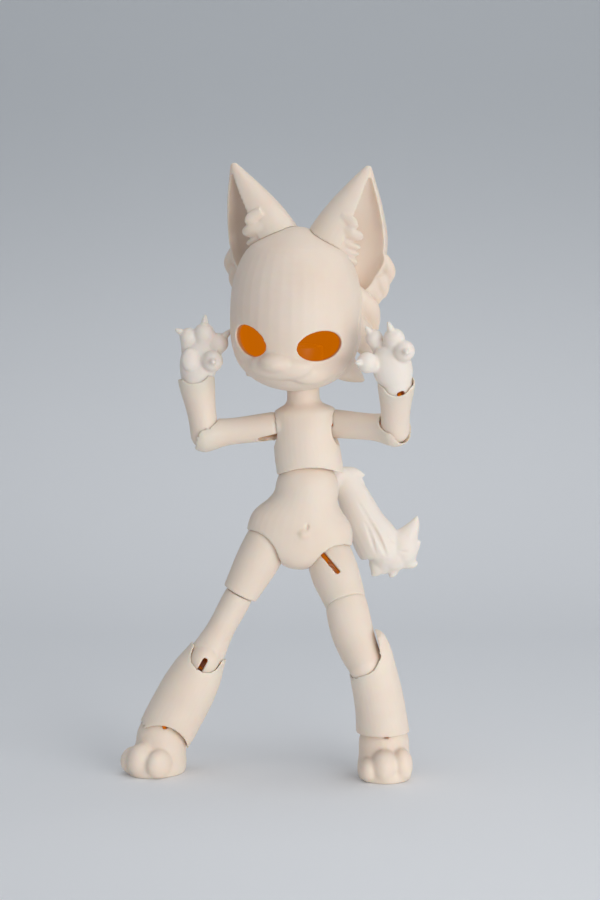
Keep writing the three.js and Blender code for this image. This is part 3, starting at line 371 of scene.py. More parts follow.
def flowing(row: Sequence[Ring], steps: int = 4) -> list[Ring]:
    """Fills in rings between the given ones, so that their outline flows.

    Args:
        row: The rings, in order of height.
        steps: How many rings each gap is divided into.

    Returns:
        The given rings with the new ones between them.
    """
    full = []
    for index in range(len(row) - 1):
        four = [row[max(index - 1, 0)], row[index], row[index + 1], row[min(index + 2, len(row) - 1)]]
        for step in range(steps):
            share = step / steps
            values = [spline(*(getattr(ring, name) for ring in four), share)
                      for name in ("height", "half_width", "half_depth", "shift", "back")]
            full.append(Ring(*values))
    return full + [row[-1]]


def dome(radius: float, centre: float = 0.0, pole: int = 1, steps: int = 7) -> list[Ring]:
    """Rings of a half ball, from the ring next to its pole to the one next to its equator.

    Args:
        radius: The ball's radius.
        centre: The height of its centre.
        pole: 1 for a dome that stands above its centre and -1 for one that hangs below it.
        steps: How many rings it has.

    Returns:
        The rings, from the pole to the equator.
    """
    lifts = [math.pi / 2 * (1 - (step + 0.25) / steps) for step in range(steps)]
    return [Ring(centre + pole * radius * math.sin(lift), radius * math.cos(lift), radius * math.cos(lift))
            for lift in lifts]


def aimed(direction: Vector) -> Matrix:
    """Returns the turn that lays +Z along a direction."""
    return direction.to_track_quat("Z", "Y").to_matrix().to_4x4()


class Clay:
    """A soft shape in the making: closed lumps in a limb's own frame, in millimetres."""

    def __init__(self) -> None:
        """Starts with no lump."""
        self.mesh = bmesh.new()

    def skin(self, places: Sequence[Matrix], sides: int = 36) -> "Clay":
        """Adds a closed skin over a row of circles.

        Args:
            places: The matrix of each circle, which lays out a unit circle.
            sides: How many corners each circle has.

        Returns:
            This clay.
        """
        loops = [bmesh.ops.create_circle(self.mesh, cap_ends=False, radius=1.0, segments=sides,
                                         matrix=place)["verts"] for place in places]
        edges = [{edge for corner in loop for edge in corner.link_edges} for loop in loops]
        for lower, upper in zip(edges, edges[1:]):
            bmesh.ops.bridge_loops(self.mesh, edges=list(lower | upper))
        for loop in (loops[0], loops[-1]):
            bmesh.ops.contextual_create(self.mesh, geom=loop)
        return self

    def turned(self, row: Sequence[Ring], place: Matrix = Matrix(), steps: int = 4) -> "Clay":
        """Adds a shape skinned over rings that stand along Z.

        Args:
            row: The rings, in order of height.
            place: Where the shape goes.
            steps: How many rings each gap is divided into.

        Returns:
            This clay.
        """
        return self.skin([place @ ring.place() for ring in flowing(row, steps)])

    def lock(self, points: Sequence[Sequence[float]], radii: Sequence[float], flatness: float = 1.0,
             wide: Vector = ACROSS, sides: int = 20) -> "Clay":
        """Adds a lock of fur, a finger or a groove, swept along a curve.

        Args:
            points: The curve's points.
            radii: The half width at each point.
            flatness: Its depth as a share of its width.
            wide: The direction that its width keeps to.
            sides: How many corners its section has.

        Returns:
            This clay.
        """
        path = [Vector(point) for point in points]
        rows = [Ring(point.z, radius, radius, point.x, point.y) for point, radius in zip(path, radii)]
        full = flowing(rows, 4)
        spots = [Vector((ring.shift, ring.back, ring.height)) for ring in full]
        places = []
        for index, ring in enumerate(full):
            along = (spots[min(index + 1, len(spots) - 1)] - spots[max(index - 1, 0)]).normalized()
            deep = along.cross(wide).normalized()
            across = deep.cross(along)
            turn = Matrix((across, deep, along)).transposed().to_4x4()
            size = max(ring.half_width, 0.05)
            section = Matrix.Diagonal((size, size * flatness, 1, 1))
            places.append(Matrix.Translation(spots[index]) @ turn @ section)
        return self.skin(places, sides)

    def ball(self, centre: Sequence[float], halves: Sequence[float], turn: Matrix = Matrix(),
             place: Matrix = Matrix()) -> "Clay":
        """Adds a ball or a longer rounded lump.

        Args:
            centre: Its centre.
            halves: Its half sizes.
            turn: The turn of its half sizes.
            place: A frame that all of it is given in.

        Returns:
            This clay.
        """
        matrix = place @ Matrix.Translation(Vector(centre)) @ turn @ Matrix.Diagonal((*halves, 1.0))
        bmesh.ops.create_icosphere(self.mesh, subdivisions=4, radius=1.0, matrix=matrix)
        return self

    def rod(self, start: Sequence[float], end: Sequence[float], radius: float,
            end_radius: float | None = None, place: Matrix = Matrix()) -> "Clay":
        """Adds a round rod, or a cone.

        Args:
            start: The middle of its first end.
            end: The middle of its other end.
            radius: Its radius at the first end.
            end_radius: Its radius at the other end, if that differs.
            place: A frame that it is given in.

        Returns:
            This clay.
        """
        first, last = Vector(start), Vector(end)
        span = last - first
        matrix = place @ Matrix.Translation((first + last) / 2) @ aimed(span)
        other = radius if end_radius is None else end_radius
        bmesh.ops.create_cone(self.mesh, cap_ends=True, segments=32, radius1=radius, radius2=other,
                              depth=span.length, matrix=matrix)
        return self

    def block(self, low: Sequence[float], high: Sequence[float], place: Matrix = Matrix()) -> "Clay":
        """Adds a box between two corners.

        Args:
            low: Its lowest corner.
            high: Its highest corner.
            place: A frame that it is given in.

        Returns:
            This clay.
        """
        first, last = Vector(low), Vector(high)
        size = last - first
        matrix = place @ Matrix.Translation((first + last) / 2) @ Matrix.Diagonal((*size, 1.0))
        bmesh.ops.create_cube(self.mesh, size=1.0, matrix=matrix)
        return self

    def shaped(self, name: str) -> bpy.types.Object:
        """Turns the clay into an object in millimetres, with its faces outwards.

        Args:
            name: The object's name.

        Returns:
            The object, which isn't in the scene's finished pieces yet.
        """
        bmesh.ops.recalc_face_normals(self.mesh, faces=self.mesh.faces)
        data = bpy.data.meshes.new(name)
        self.mesh.to_mesh(data)
        self.mesh.free()
        thing = bpy.data.objects.new(name, data)
        bpy.context.scene.collection.objects.link(thing)
        return thing


def bake(thing: bpy.types.Object) -> bpy.types.Object:
    """Makes an object's modifiers part of its mesh.

    Args:
        thing: The object.

    Returns:
        The same object, with no modifier left.
    """
    graph = bpy.context.evaluated_depsgraph_get()
    old = thing.data
    data = bpy.data.meshes.new_from_object(thing.evaluated_get(graph))
    thing.modifiers.clear()
    thing.data = data
    bpy.data.meshes.remove(old)
    return thing


def melt(thing: bpy.types.Object, facet: float, soften: int) -> bpy.types.Object:
    """Melts a piece's lumps into one even skin and softens it, as clay is smoothed before it is cast.

    Args:
        thing: The piece, in millimetres.
        facet: The size of its facets.
        soften: How often it is smoothed.

    Returns:
        The same piece.
    """
    skin = thing.modifiers.new("one_skin", "REMESH")
    skin.mode = "VOXEL"
    skin.voxel_size = facet
    if soften:
        rub = thing.modifiers.new("rubbed_smooth", "SMOOTH")
        rub.factor = 0.5
        rub.iterations = soften
    return bake(thing)


def sunk(outer: BVHTree, spot: Vector) -> float:
    """Tells how deep a spot lies below an uncut surface.

    Args:
        outer: The uncut surface.
        spot: The spot.

    Returns:
        Its depth in millimetres, or 0 where it stands out of the surface.
    """
    near, normal, _, distance = outer.find_nearest(spot)
    return distance if (spot - near).dot(normal) < 0 else 0.0


@dataclass(frozen=True)
class Stand:
    """Where a limb's own frame stands in the row frame: its origin in metres, and its turn."""

    origin: Vector
    turn: Quaternion

    def matrix(self) -> Matrix:
        """Returns the step from the limb's own millimetres to the row frame's metres."""
        return Matrix.Translation(self.origin) @ self.turn.to_matrix().to_4x4() @ Matrix.Scale(MM, 4)

    def seen_from(self, other: "Stand") -> Matrix:
        """Returns the step from this frame's own millimetres to another frame's."""
        return other.matrix().inverted() @ self.matrix()


def about(axis: Vector, angle: float) -> Quaternion:
    """Returns a turn about an axis by an angle in degrees."""
    return Quaternion(axis, math.radians(angle))


def hanging(direction: Vector) -> Quaternion:
    """Lays a limb's own -Z along a direction, with its front kept to -Y.

    Args:
        direction: Where the limb points.

    Returns:
        The limb's turn.
    """
    rise = -direction.normalized()
    wide = BACK.cross(rise).normalized()
    deep = rise.cross(wide)
    return Matrix((wide, deep, rise)).transposed().to_quaternion()


def rising(direction: Vector) -> Quaternion:
    """Lays a paw's own +Z along a direction, with its front kept to -Y.

    Args:
        direction: Where the paw points.

    Returns:
        The paw's turn.
    """
    rise = direction.normalized()
    wide = BACK.cross(rise).normalized()
    return Matrix((wide, rise.cross(wide), rise)).transposed().to_quaternion()


class Skeleton:
    """The stands of all the limbs, worked out from the frame's joints and the stance's angles."""

    pelvis_roll = 9.0
    chest_roll = -2.3
    head_yaw = -14.0
    head_roll = 2.0
    head_nod = 3.0
    foot_yaw = {Side.LEFT: -35.0, Side.RIGHT: 4.0}

    def __init__(self, joints: Sequence[dict]) -> None:
        """Reads where every joint stands.

        Args:
            joints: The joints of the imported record.
        """
        spots = {joint["name"]: Vector(joint["pos_m"]) for joint in joints}
        self.axes = {joint["name"]: Vector(joint["axis"]).normalized() for joint in joints}
        self.ranges = {joint["name"]: tuple(joint["range_deg"]) for joint in joints}
        hips = [spots["hip_swing_left"], spots["hip_swing_right"]]
        roll = about(BACK, self.chest_roll)
        self.pelvis = Stand((hips[0] + hips[1]) / 2, about(BACK, self.pelvis_roll))
        self.chest = Stand(spots["waist_bend"], roll)
        self.neck = Stand(spots["neck_turn"], roll @ about(UP, self.head_yaw))
        self.head = Stand(spots["head_nod"], about(BACK, self.head_roll) @ about(UP, self.head_yaw)
                          @ about(ACROSS, self.head_nod))
        self.tail = Stand(spots["tail_turn"], Quaternion())
        self.thigh, self.swivel, self.shin, self.ankle, self.foot = {}, {}, {}, {}, {}
        self.upper_arm, self.forearm, self.wrist, self.hand = {}, {}, {}, {}
        for side in Side:
            hip, knee = spots[f"hip_swing_{side.word}"], spots[f"knee_{side.word}"]
            ankle = spots[f"foot_flex_{side.word}"]
            thigh_turn, shin_turn = hanging(knee - hip), hanging(ankle - knee)
            self.thigh[side] = Stand(hip, thigh_turn)
            self.swivel[side] = Stand(spots[f"thigh_swivel_{side.word}"], thigh_turn)
            self.shin[side] = Stand(knee, shin_turn)
            self.ankle[side] = Stand(ankle, shin_turn)
            self.foot[side] = Stand(ankle, about(UP, self.foot_yaw[side]))
            shoulder, elbow = spots[f"shoulder_lift_{side.word}"], spots[f"elbow_{side.word}"]
            wrist = spots[f"wrist_twist_{side.word}"]
            self.upper_arm[side] = Stand(shoulder, hanging(elbow - shoulder))
            self.forearm[side] = Stand(elbow, hanging(wrist - elbow))
            self.wrist[side] = Stand(wrist, hanging(wrist - elbow))
            self.hand[side] = Stand(wrist, rising(self.hand_direction(side)))

    @staticmethod
    def hand_direction(side: Side) -> Vector:
        """Tells which way a hand points.

        Args:
            side: Which hand.

        Returns:
            A direction in the row frame.
        """
        if side is Side.LEFT:
            return Vector((0.0, 0.0, 1.0))
        tilt, lean = math.radians(-16), math.radians(11)
        return Vector((math.sin(tilt), -math.cos(tilt) * math.sin(lean), math.cos(tilt) * math.cos(lean)))

    def travel(self, name: str, pivot: Stand, steps: int) -> list[Matrix]:
        """Turns about a joint through its range, in the row frame.

        Args:
            name: The joint.
            pivot: The stand whose origin the axis passes through.
            steps: How many steps the range has.

        Returns:
            One matrix for each step, the first at the low limit and the last at the high one.
        """
        low, high = self.ranges[name]
        middle = Matrix.Translation(pivot.origin)
        angles = [low + (high - low) * step / steps for step in range(steps + 1)]
        return [middle @ about(self.axes[name], angle).to_matrix().to_4x4() @ middle.inverted()
                for angle in angles]

    def passes(self, joint: str, moving: Stand, viewer: Stand, steps: int,
               backwards: bool = False) -> list[Matrix]:
        """Lists the places that one limb takes in another limb's frame while a joint goes through its range.

        Args:
            joint: The joint.
            moving: The limb that passes.
            viewer: The limb that it is seen from.
            steps: How many steps the range has.
            backwards: Whether the joint carries the viewer, so that the other limb only seems to move.

        Returns:
            The step from the moving limb's own millimetres to the viewer's, for each step of the range.
        """
        turns = self.travel(joint, viewer if backwards else moving, steps)
        return [viewer.matrix().inverted() @ (turn.inverted() if backwards else turn) @ moving.matrix()
                for turn in turns]


class Workshop:
    """Casts pieces: melts their clay, carves it, dresses it and hands it to the frame."""

    # The depth at which the painted shade of a hollow starts, and over how much more it grows full, in
    # millimetres.
    blush_from = 0.4
    blush_over = 2.6

    def __init__(self) -> None:
        """Mixes the finishes."""
        self.resin = CastResin().make()
        # A paler copy of the same resin, for the hands and the tail.
        self.thin_resin = CastResin("cast_cream_resin_thin", light="#f2ebe2", warm="#eee1d4").make()
        self.elastic = BraidedElastic().make()
        self.wire = BrightMetal().make()
        self.nickel = BrightMetal("nickel_plated_disc", "#c6c6c4", 0.22).make()
        self.coarse = 1.0

    def cut(self, piece: bpy.types.Object, tool: bpy.types.Object) -> None:
        """Cuts a tool out of a piece and puts the tool away.

        Args:
            piece: The piece.
            tool: The tool.
        """
        carve = piece.modifiers.new("cut", "BOOLEAN")
        carve.operation = "DIFFERENCE"
        carve.solver = "MANIFOLD"
        carve.object = tool
        bake(piece)
        bpy.data.objects.remove(tool)

    def cast(self, name: str, body: str, nodes: Sequence[str], stand: Stand, clay: Clay,
             carving: Clay | None = None, spared: Clay | None = None, drilled: Clay | None = None,
             added: Clay | None = None, grade: Grade = Grade.PLAIN, blend: int = 4, soften: int = 2,
             soak: float = 1.0, blush: float = 0.0, thin: bool = False) -> bpy.types.Object:
        """Casts one piece of resin and puts it on its body.

        Args:
            name: The piece's name.
            body: The body that it rides on.
            nodes: The CAD nodes that it stands for.
            stand: The frame that its clay is given in.
            clay: Its outer shape.
            carving: What is cut out of it, if anything.
            spared: What the carving leaves standing, if anything.
            drilled: What is cut out last, if anything.
            added: What is laid on at the end, if anything.
            grade: How finely it is sculpted.
            blend: How often its outer shape is smoothed before it is carved.
            soften: How often its edges are rubbed down after that.
            soak: How fast, with their depth, its carved insides take the painted shade and, deeper, the painted
                glow.
            blush: How strong the painted shade in its hollows is, from 0 to 1.
            thin: Whether it takes the paler copy of the resin.

        Returns:
            The finished piece, in the row frame.
        """
        facet = grade.value * self.coarse
        piece = melt(clay.shaped(name), facet, blend)
        outer = BVHTree.FromPolygons([tuple(corner.co) for corner in piece.data.vertices],
                                     [tuple(face.vertices) for face in piece.data.polygons])
        if carving is not None:
            tool = melt(carving.shaped(f"{name}_carving"), facet, 0)
            if spared is not None:
                self.cut(tool, melt(spared.shaped(f"{name}_spared"), facet, 0))
            self.cut(piece, tool)
        if drilled is not None:
            self.cut(piece, melt(drilled.shaped(f"{name}_drilled"), facet, 0))
        if added is not None:
            extra = added.shaped(f"{name}_added")
            whole = bmesh.new()
            whole.from_mesh(piece.data)
            whole.from_mesh(extra.data)
            whole.to_mesh(piece.data)
            whole.free()
            bpy.data.objects.remove(extra)
        if carving is not None or added is not None:
            melt(piece, facet, soften)
        data = piece.data
        data.materials.clear()
        data.materials.append(self.thin_resin if thin else self.resin)
        data.shade_smooth()
        depth = data.attributes.new("depth_mm", "FLOAT", "POINT")
        hollow = data.attributes.new("blush", "FLOAT", "POINT")
        # Painted shade and painted glow: each corner's depth below the uncut surface, scaled per casting, and the
        # painted shade of hollows that grows with it.
        if carving is not None:
            depths = [sunk(outer, corner.co) for corner in data.vertices]
            depth.data.foreach_set("value", [soak * value for value in depths])
            hollow_shade_ramp = [min(max((value - self.blush_from) / self.blush_over, 0), 1) for value in depths]
            hollow.data.foreach_set("value", [blush * value for value in hollow_shade_ramp])
        data.transform(stand.matrix())
        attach(piece, body)
        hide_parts(*nodes)
        LOG.info("%s: %d faces on %s", name, len(data.polygons), body)
        return piece

    def dress_nodes(self, nodes: dict[str, bpy.types.Object]) -> None:
        """Gives the cords, hooks and magnets, whose CAD shapes are right, their finishes.

        Args:
            nodes: The frame's CAD nodes by name.
        """
        finishes = {"cord": self.elastic, "hook": self.wire, "magnet": self.nickel}
        for name, thing in nodes.items():
            for kind, finish in finishes.items():
                if kind in name:
                    thing.data.materials.clear()
                    thing.data.materials.append(finish)


# Limbs


@dataclass
class Leg:
    """A leg: upper thigh, lower thigh, bell-shaped shin and paw, with their balls, slots and seams."""

    side: Side
    bones: Skeleton
    hip_radius: float = 7.4
    seam_drop: float = 18.6
    thigh_length: float = 41.0
    knee_radius: float = 5.75
    knee_play: float = 0.2
    kneecap_play: float = 0.22
    ankle_lift: float = 4.9
    arch_radius: float = 8.6
    shin_length: float = 33.0
    ankle_radius: float = 8.3
    ankle_dome: float = 9.6
    ankle_height: float = 10.4
    pin_radius: float = 2.6
    slot: float = 0.85
    toe_set_back: float = 0.8

    UPPER = {
        Side.LEFT: rings((0, 7.4, 7.4), (-4, 7.35, 7.4), (-9, 7.0, 7.2), (-13.5, 6.5, 6.8), (-17, 6.1, 6.4)),
        Side.RIGHT: rings((0, 7.5, 7.4), (-4, 7.8, 7.6), (-9, 7.8, 7.6), (-13.5, 7.3, 7.2, 0.2),
                          (-17, 6.9, 6.8, 0.3))}
    # How far the upper thigh's end lies over the middle of the seam, and its half sizes there.
    UPPER_END = {Side.LEFT: (0.15, 5.95, 6.2), Side.RIGHT: (-0.1, 6.7, 6.6, 0.3)}
    # The same for the lower thigh's top, with the half sizes 1 mm under it.
    LOWER_TOP = {Side.LEFT: (-0.15, (4.6, 5.3), (4.7, 5.35)),
                 Side.RIGHT: (0.05, (6.8, 6.5, 0.2), (6.85, 6.5, 0.1))}
    LOWER = {
        Side.LEFT: rings((-4, 4.8, 5.3), (-10, 4.6, 5.0), (-15, 4.75, 5.0), (-19, 5.3, 5.4)),
        Side.RIGHT: rings((-4, 7.0, 6.5, -0.2), (-10, 6.9, 6.3, -0.7), (-15, 6.5, 6.1, -0.7),
                          (-19, 6.2, 6.1, -0.4))}
    SHIN = {
        Side.LEFT: rings(
            (0.9, 6.5, 6.7), (-0.8, 6.8, 7.1), (-3.2, 7.4, 7.6), (-6.8, 8.3, 8.3), (-13, 9.1, 8.95),
            (-20, 9.3, 9.1), (-26.5, 9.3, 9.15), (-30.4, 9.1, 9.05), (-31.4, 9.0, 9.0)),
        Side.RIGHT: rings(
            (8.4, 4.6, 3.6, 2.6, 4.0), (7.0, 6.0, 4.8, 2.2, 3.4), (4.6, 7.0, 6.0, 1.9, 2.0),
            (2.4, 7.4, 6.7, 1.8, 1.0), (0.5, 7.5, 7.1, 1.8, 0.2), (-2.5, 7.6, 7.5, 1.8),
            (-6.5, 7.8, 7.9, 1.8), (-13, 8.0, 8.4, 1.7), (-20, 8.3, 8.8, 1.3), (-26.5, 8.7, 9.1, 0.6), (-30.2, 8.8, 9.1, 0.4),
            (-30.9, 8.8, 9.1, 0.4))}
    # Heights over the sole.
    PAW = ((-1, 8.0, 9.4, 0, -2.3), (0.6, 8.6, 10.6, 0, -2.3), (3.2, 8.95, 10.9, 0, -2.2),
           (6.4, 8.5, 9.6, 0, -1.2), (8.6, 8.3, 8.8, 0, -0.5))
    # Each toe's place towards the outside, its reach, its height over the sole and its half sizes.
    TOES = {
        Side.LEFT: ((-5.6, 9.0, 4.6, (3.6, 5.2, 4.8)), (0.6, 10.0, 5.2, (4.6, 5.8, 5.8)),
                    (5.8, 8.6, 4.4, (3.4, 5.0, 4.6))),
        Side.RIGHT: ((-6.0, 8.8, 3.9, (3.0, 4.8, 4.0)), (-0.9, 10.0, 5.2, (4.3, 5.6, 5.6)),
                     (5.0, 9.0, 5.4, (3.6, 5.2, 5.4)))}

    @property
    def drop(self) -> float:
        """How far the knee's centre hangs below the swivel seam."""
        return self.thigh_length - self.seam_drop

    def build(self, shop: Workshop) -> None:
        """Casts the leg's four pieces.

        Args:
            shop: The workshop.
        """
        self.upper_thigh(shop)
        self.lower_thigh(shop)
        self.shin(shop)
        self.paw(shop)

    def upper_thigh(self, shop: Workshop) -> None:
        """Casts the upper thigh, down to the seam that the lower thigh swivels on.

        Args:
            shop: The workshop.
        """
        word = self.side.word
        lift, *halves = self.UPPER_END[self.side]
        foot = -self.seam_drop + lift
        clay = Clay().turned(dome(self.hip_radius) + self.UPPER[self.side] + [Ring(foot, *halves)])
        clay.rod((0, 0, foot - 3), (0, 0, foot + 1), self.pin_radius)
        carving = Clay().rod((0, 0, foot - 4), (0, 0, 0.5), CHANNEL_RADIUS)
        if self.side is Side.LEFT:
            # Its slot faces the back.
            carving.block((-0.8, -CHANNEL_RADIUS, -2), (0.8, 9, 9))
        else:
            slant = Matrix.Translation((-2.2, 0, -0.8)) @ Matrix.Rotation(math.radians(-20), 4, "Y")
            carving.block((-0.8, -9, -10.6), (0.8, CHANNEL_RADIUS, 9), slant)
        shop.cast(f"upper_thigh_{word}", f"thigh_{word}", [f"thigh_upper_{word}"], self.bones.thigh[self.side],
                  clay, carving, soak=0.6)

    def lower_thigh(self, shop: Workshop) -> None:
        """Casts the lower thigh with its knee ball.

        Args:
            shop: The workshop.
        """
        word = self.side.word
        drop, knee = self.drop, self.knee_radius
        top, brim, below = self.LOWER_TOP[self.side]
        clay = Clay().turned([Ring(top, *brim), Ring(top - 1, *below)] + self.LOWER[self.side]
                             + [Ring(-drop, knee, knee)] + dome(knee, -drop, -1)[::-1])
        carving = Clay().rod((0, 0, -3.3), (0, 0, 1), self.pin_radius + SEAT_GAP)
        carving.rod((0, 0, -drop), (0, 0, 0), CHANNEL_RADIUS)
        if self.side is Side.LEFT:
            clay.ball(*self.kneecap())
            carving.block((-self.slot, -knee - 5, -drop - knee - 2), (self.slot, CHANNEL_RADIUS, -drop - 0.6))
        else:
            # The bent knee's slot opens towards the shin, so the front hides it.
            carving.block((-self.slot, -CHANNEL_RADIUS, -drop - knee - 1), (self.slot, knee + 1, -drop + 1.6))
        shop.cast(f"lower_thigh_{word}", f"thigh_lower_{word}", [f"thigh_lower_{word}"],
                  self.bones.swivel[self.side], clay, carving, soak=0.6)

    def kneecap(self, room: float = 0.0) -> tuple[tuple[float, ...], tuple[float, ...]]:
        """Tells where the left kneecap's ball lies on the lower thigh.

        Args:
            room: The play to add all round, in millimetres.

        Returns:
            The ball's middle and its half sizes.
        """
        return (0.0, -3.0, -self.drop - 2.2), (4.9 + room, 5.3 + room, 5.4 + room)

    def shin(self, shop: Workshop) -> None:
        """Casts the shin: a cup for the knee ball that flares into a bell over the paw.

        Args:
            shop: The workshop.
        """
        word, drop = self.side.word, self.drop
        cup = self.knee_radius + self.knee_play
        stand, foot = self.bones.shin[self.side], self.bones.foot[self.side]
        clay = Clay().turned(self.SHIN[self.side])
        carving = Clay().ball((0, 0, 0), (cup,) * 3)
        if self.side is Side.RIGHT:
            carving.ball((-0.6, -9.0, 7.9), (7.4, 7.6, 7.0))
        # The shin moves on the thigh, so the thigh passes it the other way round.
        for place in self.bones.passes(f"knee_{word}", self.bones.swivel[self.side], stand, 28, True):
            if self.side is Side.LEFT:
                carving.rod((0, 0, -drop), (0, 0, -0.4 * drop), cup, 5.5, place)
                carving.ball(*self.kneecap(self.kneecap_play), place=place)
            else:
                carving.rod((0, 0, -drop), (0, 0, -drop + 4), cup, 6.6, place)
                carving.rod((-0.5, 0, -drop + 4), (-0.6, 0, -0.4 * drop), 6.6, 7.1, place)
        across, up = self.ankle_radius + RUNNING_GAP, self.ankle_dome + RUNNING_GAP
        for place in self.bones.passes(f"foot_flex_{word}", foot, stand, 8):
            carving.ball((0, 0, 0), (across, across, up), place=place)
        upright = Stand(foot.origin, Quaternion()).seen_from(stand)
        if self.side is Side.LEFT:
            carving.rod((0.2, -FAR, -2.0), (0.2, -0.5, -2.0), self.arch_radius, place=upright)
        else:
            carving.block((-FAR, -FAR, -FAR), (FAR, FAR, self.ankle_lift), upright)
        carving.rod((0, 0, -self.shin_length), (0, 0, 0), CHANNEL_RADIUS)
        shop.cast(f"shin_{word}_bell", f"shin_{word}", [f"shin_{word}"], stand, clay, carving, soak=0.4)

    def paw(self, shop: Workshop) -> None:
        """Casts the paw: an ankle dome that swells into three toes on a flat sole.

        Args:
            shop: The workshop.
        """
        word = self.side.word
        sole = -self.ankle_height
        clay = Clay().turned([Ring(sole + rise, *rest) for rise, *rest in self.PAW]
                             + [Ring(0, self.ankle_radius, self.ankle_radius)])
        clay.ball((0, 0, 0), (self.ankle_radius, self.ankle_radius, self.ankle_dome))
        for across, reach, lift, halves in self.TOES[self.side]:
            clay.ball((self.side.value * across, self.toe_set_back - reach, sole + lift), halves)
        carving = Clay().block((-FAR, -FAR, sole - 10), (FAR, FAR, sole))
        if self.side is Side.LEFT:
            carving.block((-self.slot, -6.7, 3.3), (self.slot, 5.2, 12), about(UP, 50.0).to_matrix().to_4x4())
        else:
            carving.block((-1.0, -8.5, 3.5), (1.0, 5.2, 12))
        # The room for the hook and for the bar that it hangs on.
        carving.block((-0.9, -3.4, -0.9), (0.9, 3.4, 4))
        carving.rod((-4.6, 0, 0), (4.6, 0, 0), WIRE_RADIUS + SEAT_GAP)
        shop.cast(f"paw_{word}", f"foot_{word}", [f"foot_{word}"], self.bones.foot[self.side], clay, carving,
                  blend=20)


@dataclass
class Torso:
    """The pelvis with its waist dome and the hollow chest that sits on it, with the neck."""

    bones: Skeleton
    dome_radius: float = 10.4
    dome_half_depth: float = 8.5
    waist_rise: float = 20.0
    neck_rise: float = 35.3
    neck_radius: float = 5.45
    hip_radius: float = 7.4
    shoulder_radius: float = 4.7
    hem_radius: float = 22.0

    PELVIS = rings(
        (-6.2, 3.2, 4.6), (-4.6, 7.0, 7.4), (-2.6, 11.4, 9.0), (0.4, 15.6, 9.9), (3.6, 17.3, 10.1),
        (7.0, 17.2, 10.0), (10.0, 16.3, 9.6), (12.4, 14.5, 9.2), (14.6, 12.4, 8.9), (17.2, 10.7, 8.6),
        (19.4, 10.3, 8.5))
    CHEST = rings(
        (3.0, 10.7, 8.8, 1.2), (7.2, 10.95, 9.1, 1.1), (10.0, 10.95, 9.2, 0.8), (13.5, 10.8, 9.2, 0.5),
        (17.0, 10.55, 9.0, 0.3), (21.0, 10.4, 8.6, 0.2), (24.2, 10.5, 8.1, 0.2), (25.8, 10.2, 7.6, 0.3),
        (26.9, 8.6, 6.9, 0.4), (27.8, 6.7, 6.1, 0.2), (28.8, 5.6, 5.6), (30.6, 5.3, 5.35), (32.4, 5.35, 5.4))

    def build(self, shop: Workshop) -> None:
        """Casts the pelvis and the chest.

        Args:
            shop: The workshop.
        """
        self.pelvis(shop)
        self.chest(shop)

    def pelvis(self, shop: Workshop) -> None:
        """Casts the pelvis: hips, belly, navel and waist dome.

        Args:
            shop: The workshop.
        """
        stand, rise = self.bones.pelvis, self.waist_rise
        socket = self.hip_radius + RUNNING_GAP
        clay = Clay().turned(self.PELVIS)
        clay.ball((0, 0, rise), (self.dome_radius, self.dome_half_depth, self.dome_radius))
        # The navel is a small hollow over a small swelling.
        clay.ball((0.9, -8.9, 6.2), (2.2, 1.9, 1.8))
        carving = Clay().ball((1.7, -10.5, 8.9), (0.85, 1.6, 1.6))
        for side in Side:
            thigh = self.bones.thigh[side]
            for place in self.bones.passes(f"hip_swing_{side.word}", thigh, stand, 20):
                carving.rod((0, 0, 0), (0, 0, -13), socket, 7.1, place)
            carving.ball(thigh.seen_from(stand).translation, (socket,) * 3)
        carving.rod((0, -4, 0), (0, 6, 0), 1.9, place=self.bones.tail.seen_from(stand))
        carving.block((-5.2, -1.5, rise + 5.5), (5.2, 1.5, rise + 12))
        shop.cast("pelvis_casting", "pelvis", ["pelvis"], stand, clay, carving, blend=5, soak=0.6)

    def chest(self, shop: Workshop) -> None:
        """Casts the chest: an arched hem over the belly, arm sockets, sloping shoulders and the neck.

        Args:
            shop: The workshop.
        """
        stand = self.bones.chest
        socket = self.shoulder_radius + RUNNING_GAP
        clay = Clay().turned(self.CHEST + [Ring(self.neck_rise, self.neck_radius, self.neck_radius)]
                             + dome(self.neck_radius, self.neck_rise)[::-1])
        for side in Side:
            clay.ball((side.value * 6.9, 0, 21.3), (5.4, 5.7, 5.4))
        wide, deep = self.dome_radius + SEAT_GAP, self.dome_half_depth + SEAT_GAP
        carving = Clay().ball((0, 0, 0), (wide, deep, wide))
        carving.rod((0.9, -FAR, -14.2), (0.9, FAR, -14.2), self.hem_radius)
        carving.block((-20, -20, -10), (20, 20, 3.4))
        carving.rod((0, 0, 8), (0, 0, 26), 4.4, 3.4)
        carving.rod((0, 0, 20), (0, 0, 45), 1.8)
        for side in Side:
            arm = self.bones.upper_arm[side]
            carving.ball(arm.seen_from(stand).translation, (socket,) * 3)
            for place in self.bones.passes(f"shoulder_lift_{side.word}", arm, stand, 20):
                carving.rod((0, 0, 0), (0, 0, -12), socket, 4.9, place)
        shop.cast("chest_casting", "chest", ["chest"], stand, clay, carving, blend=5, soak=0.4)


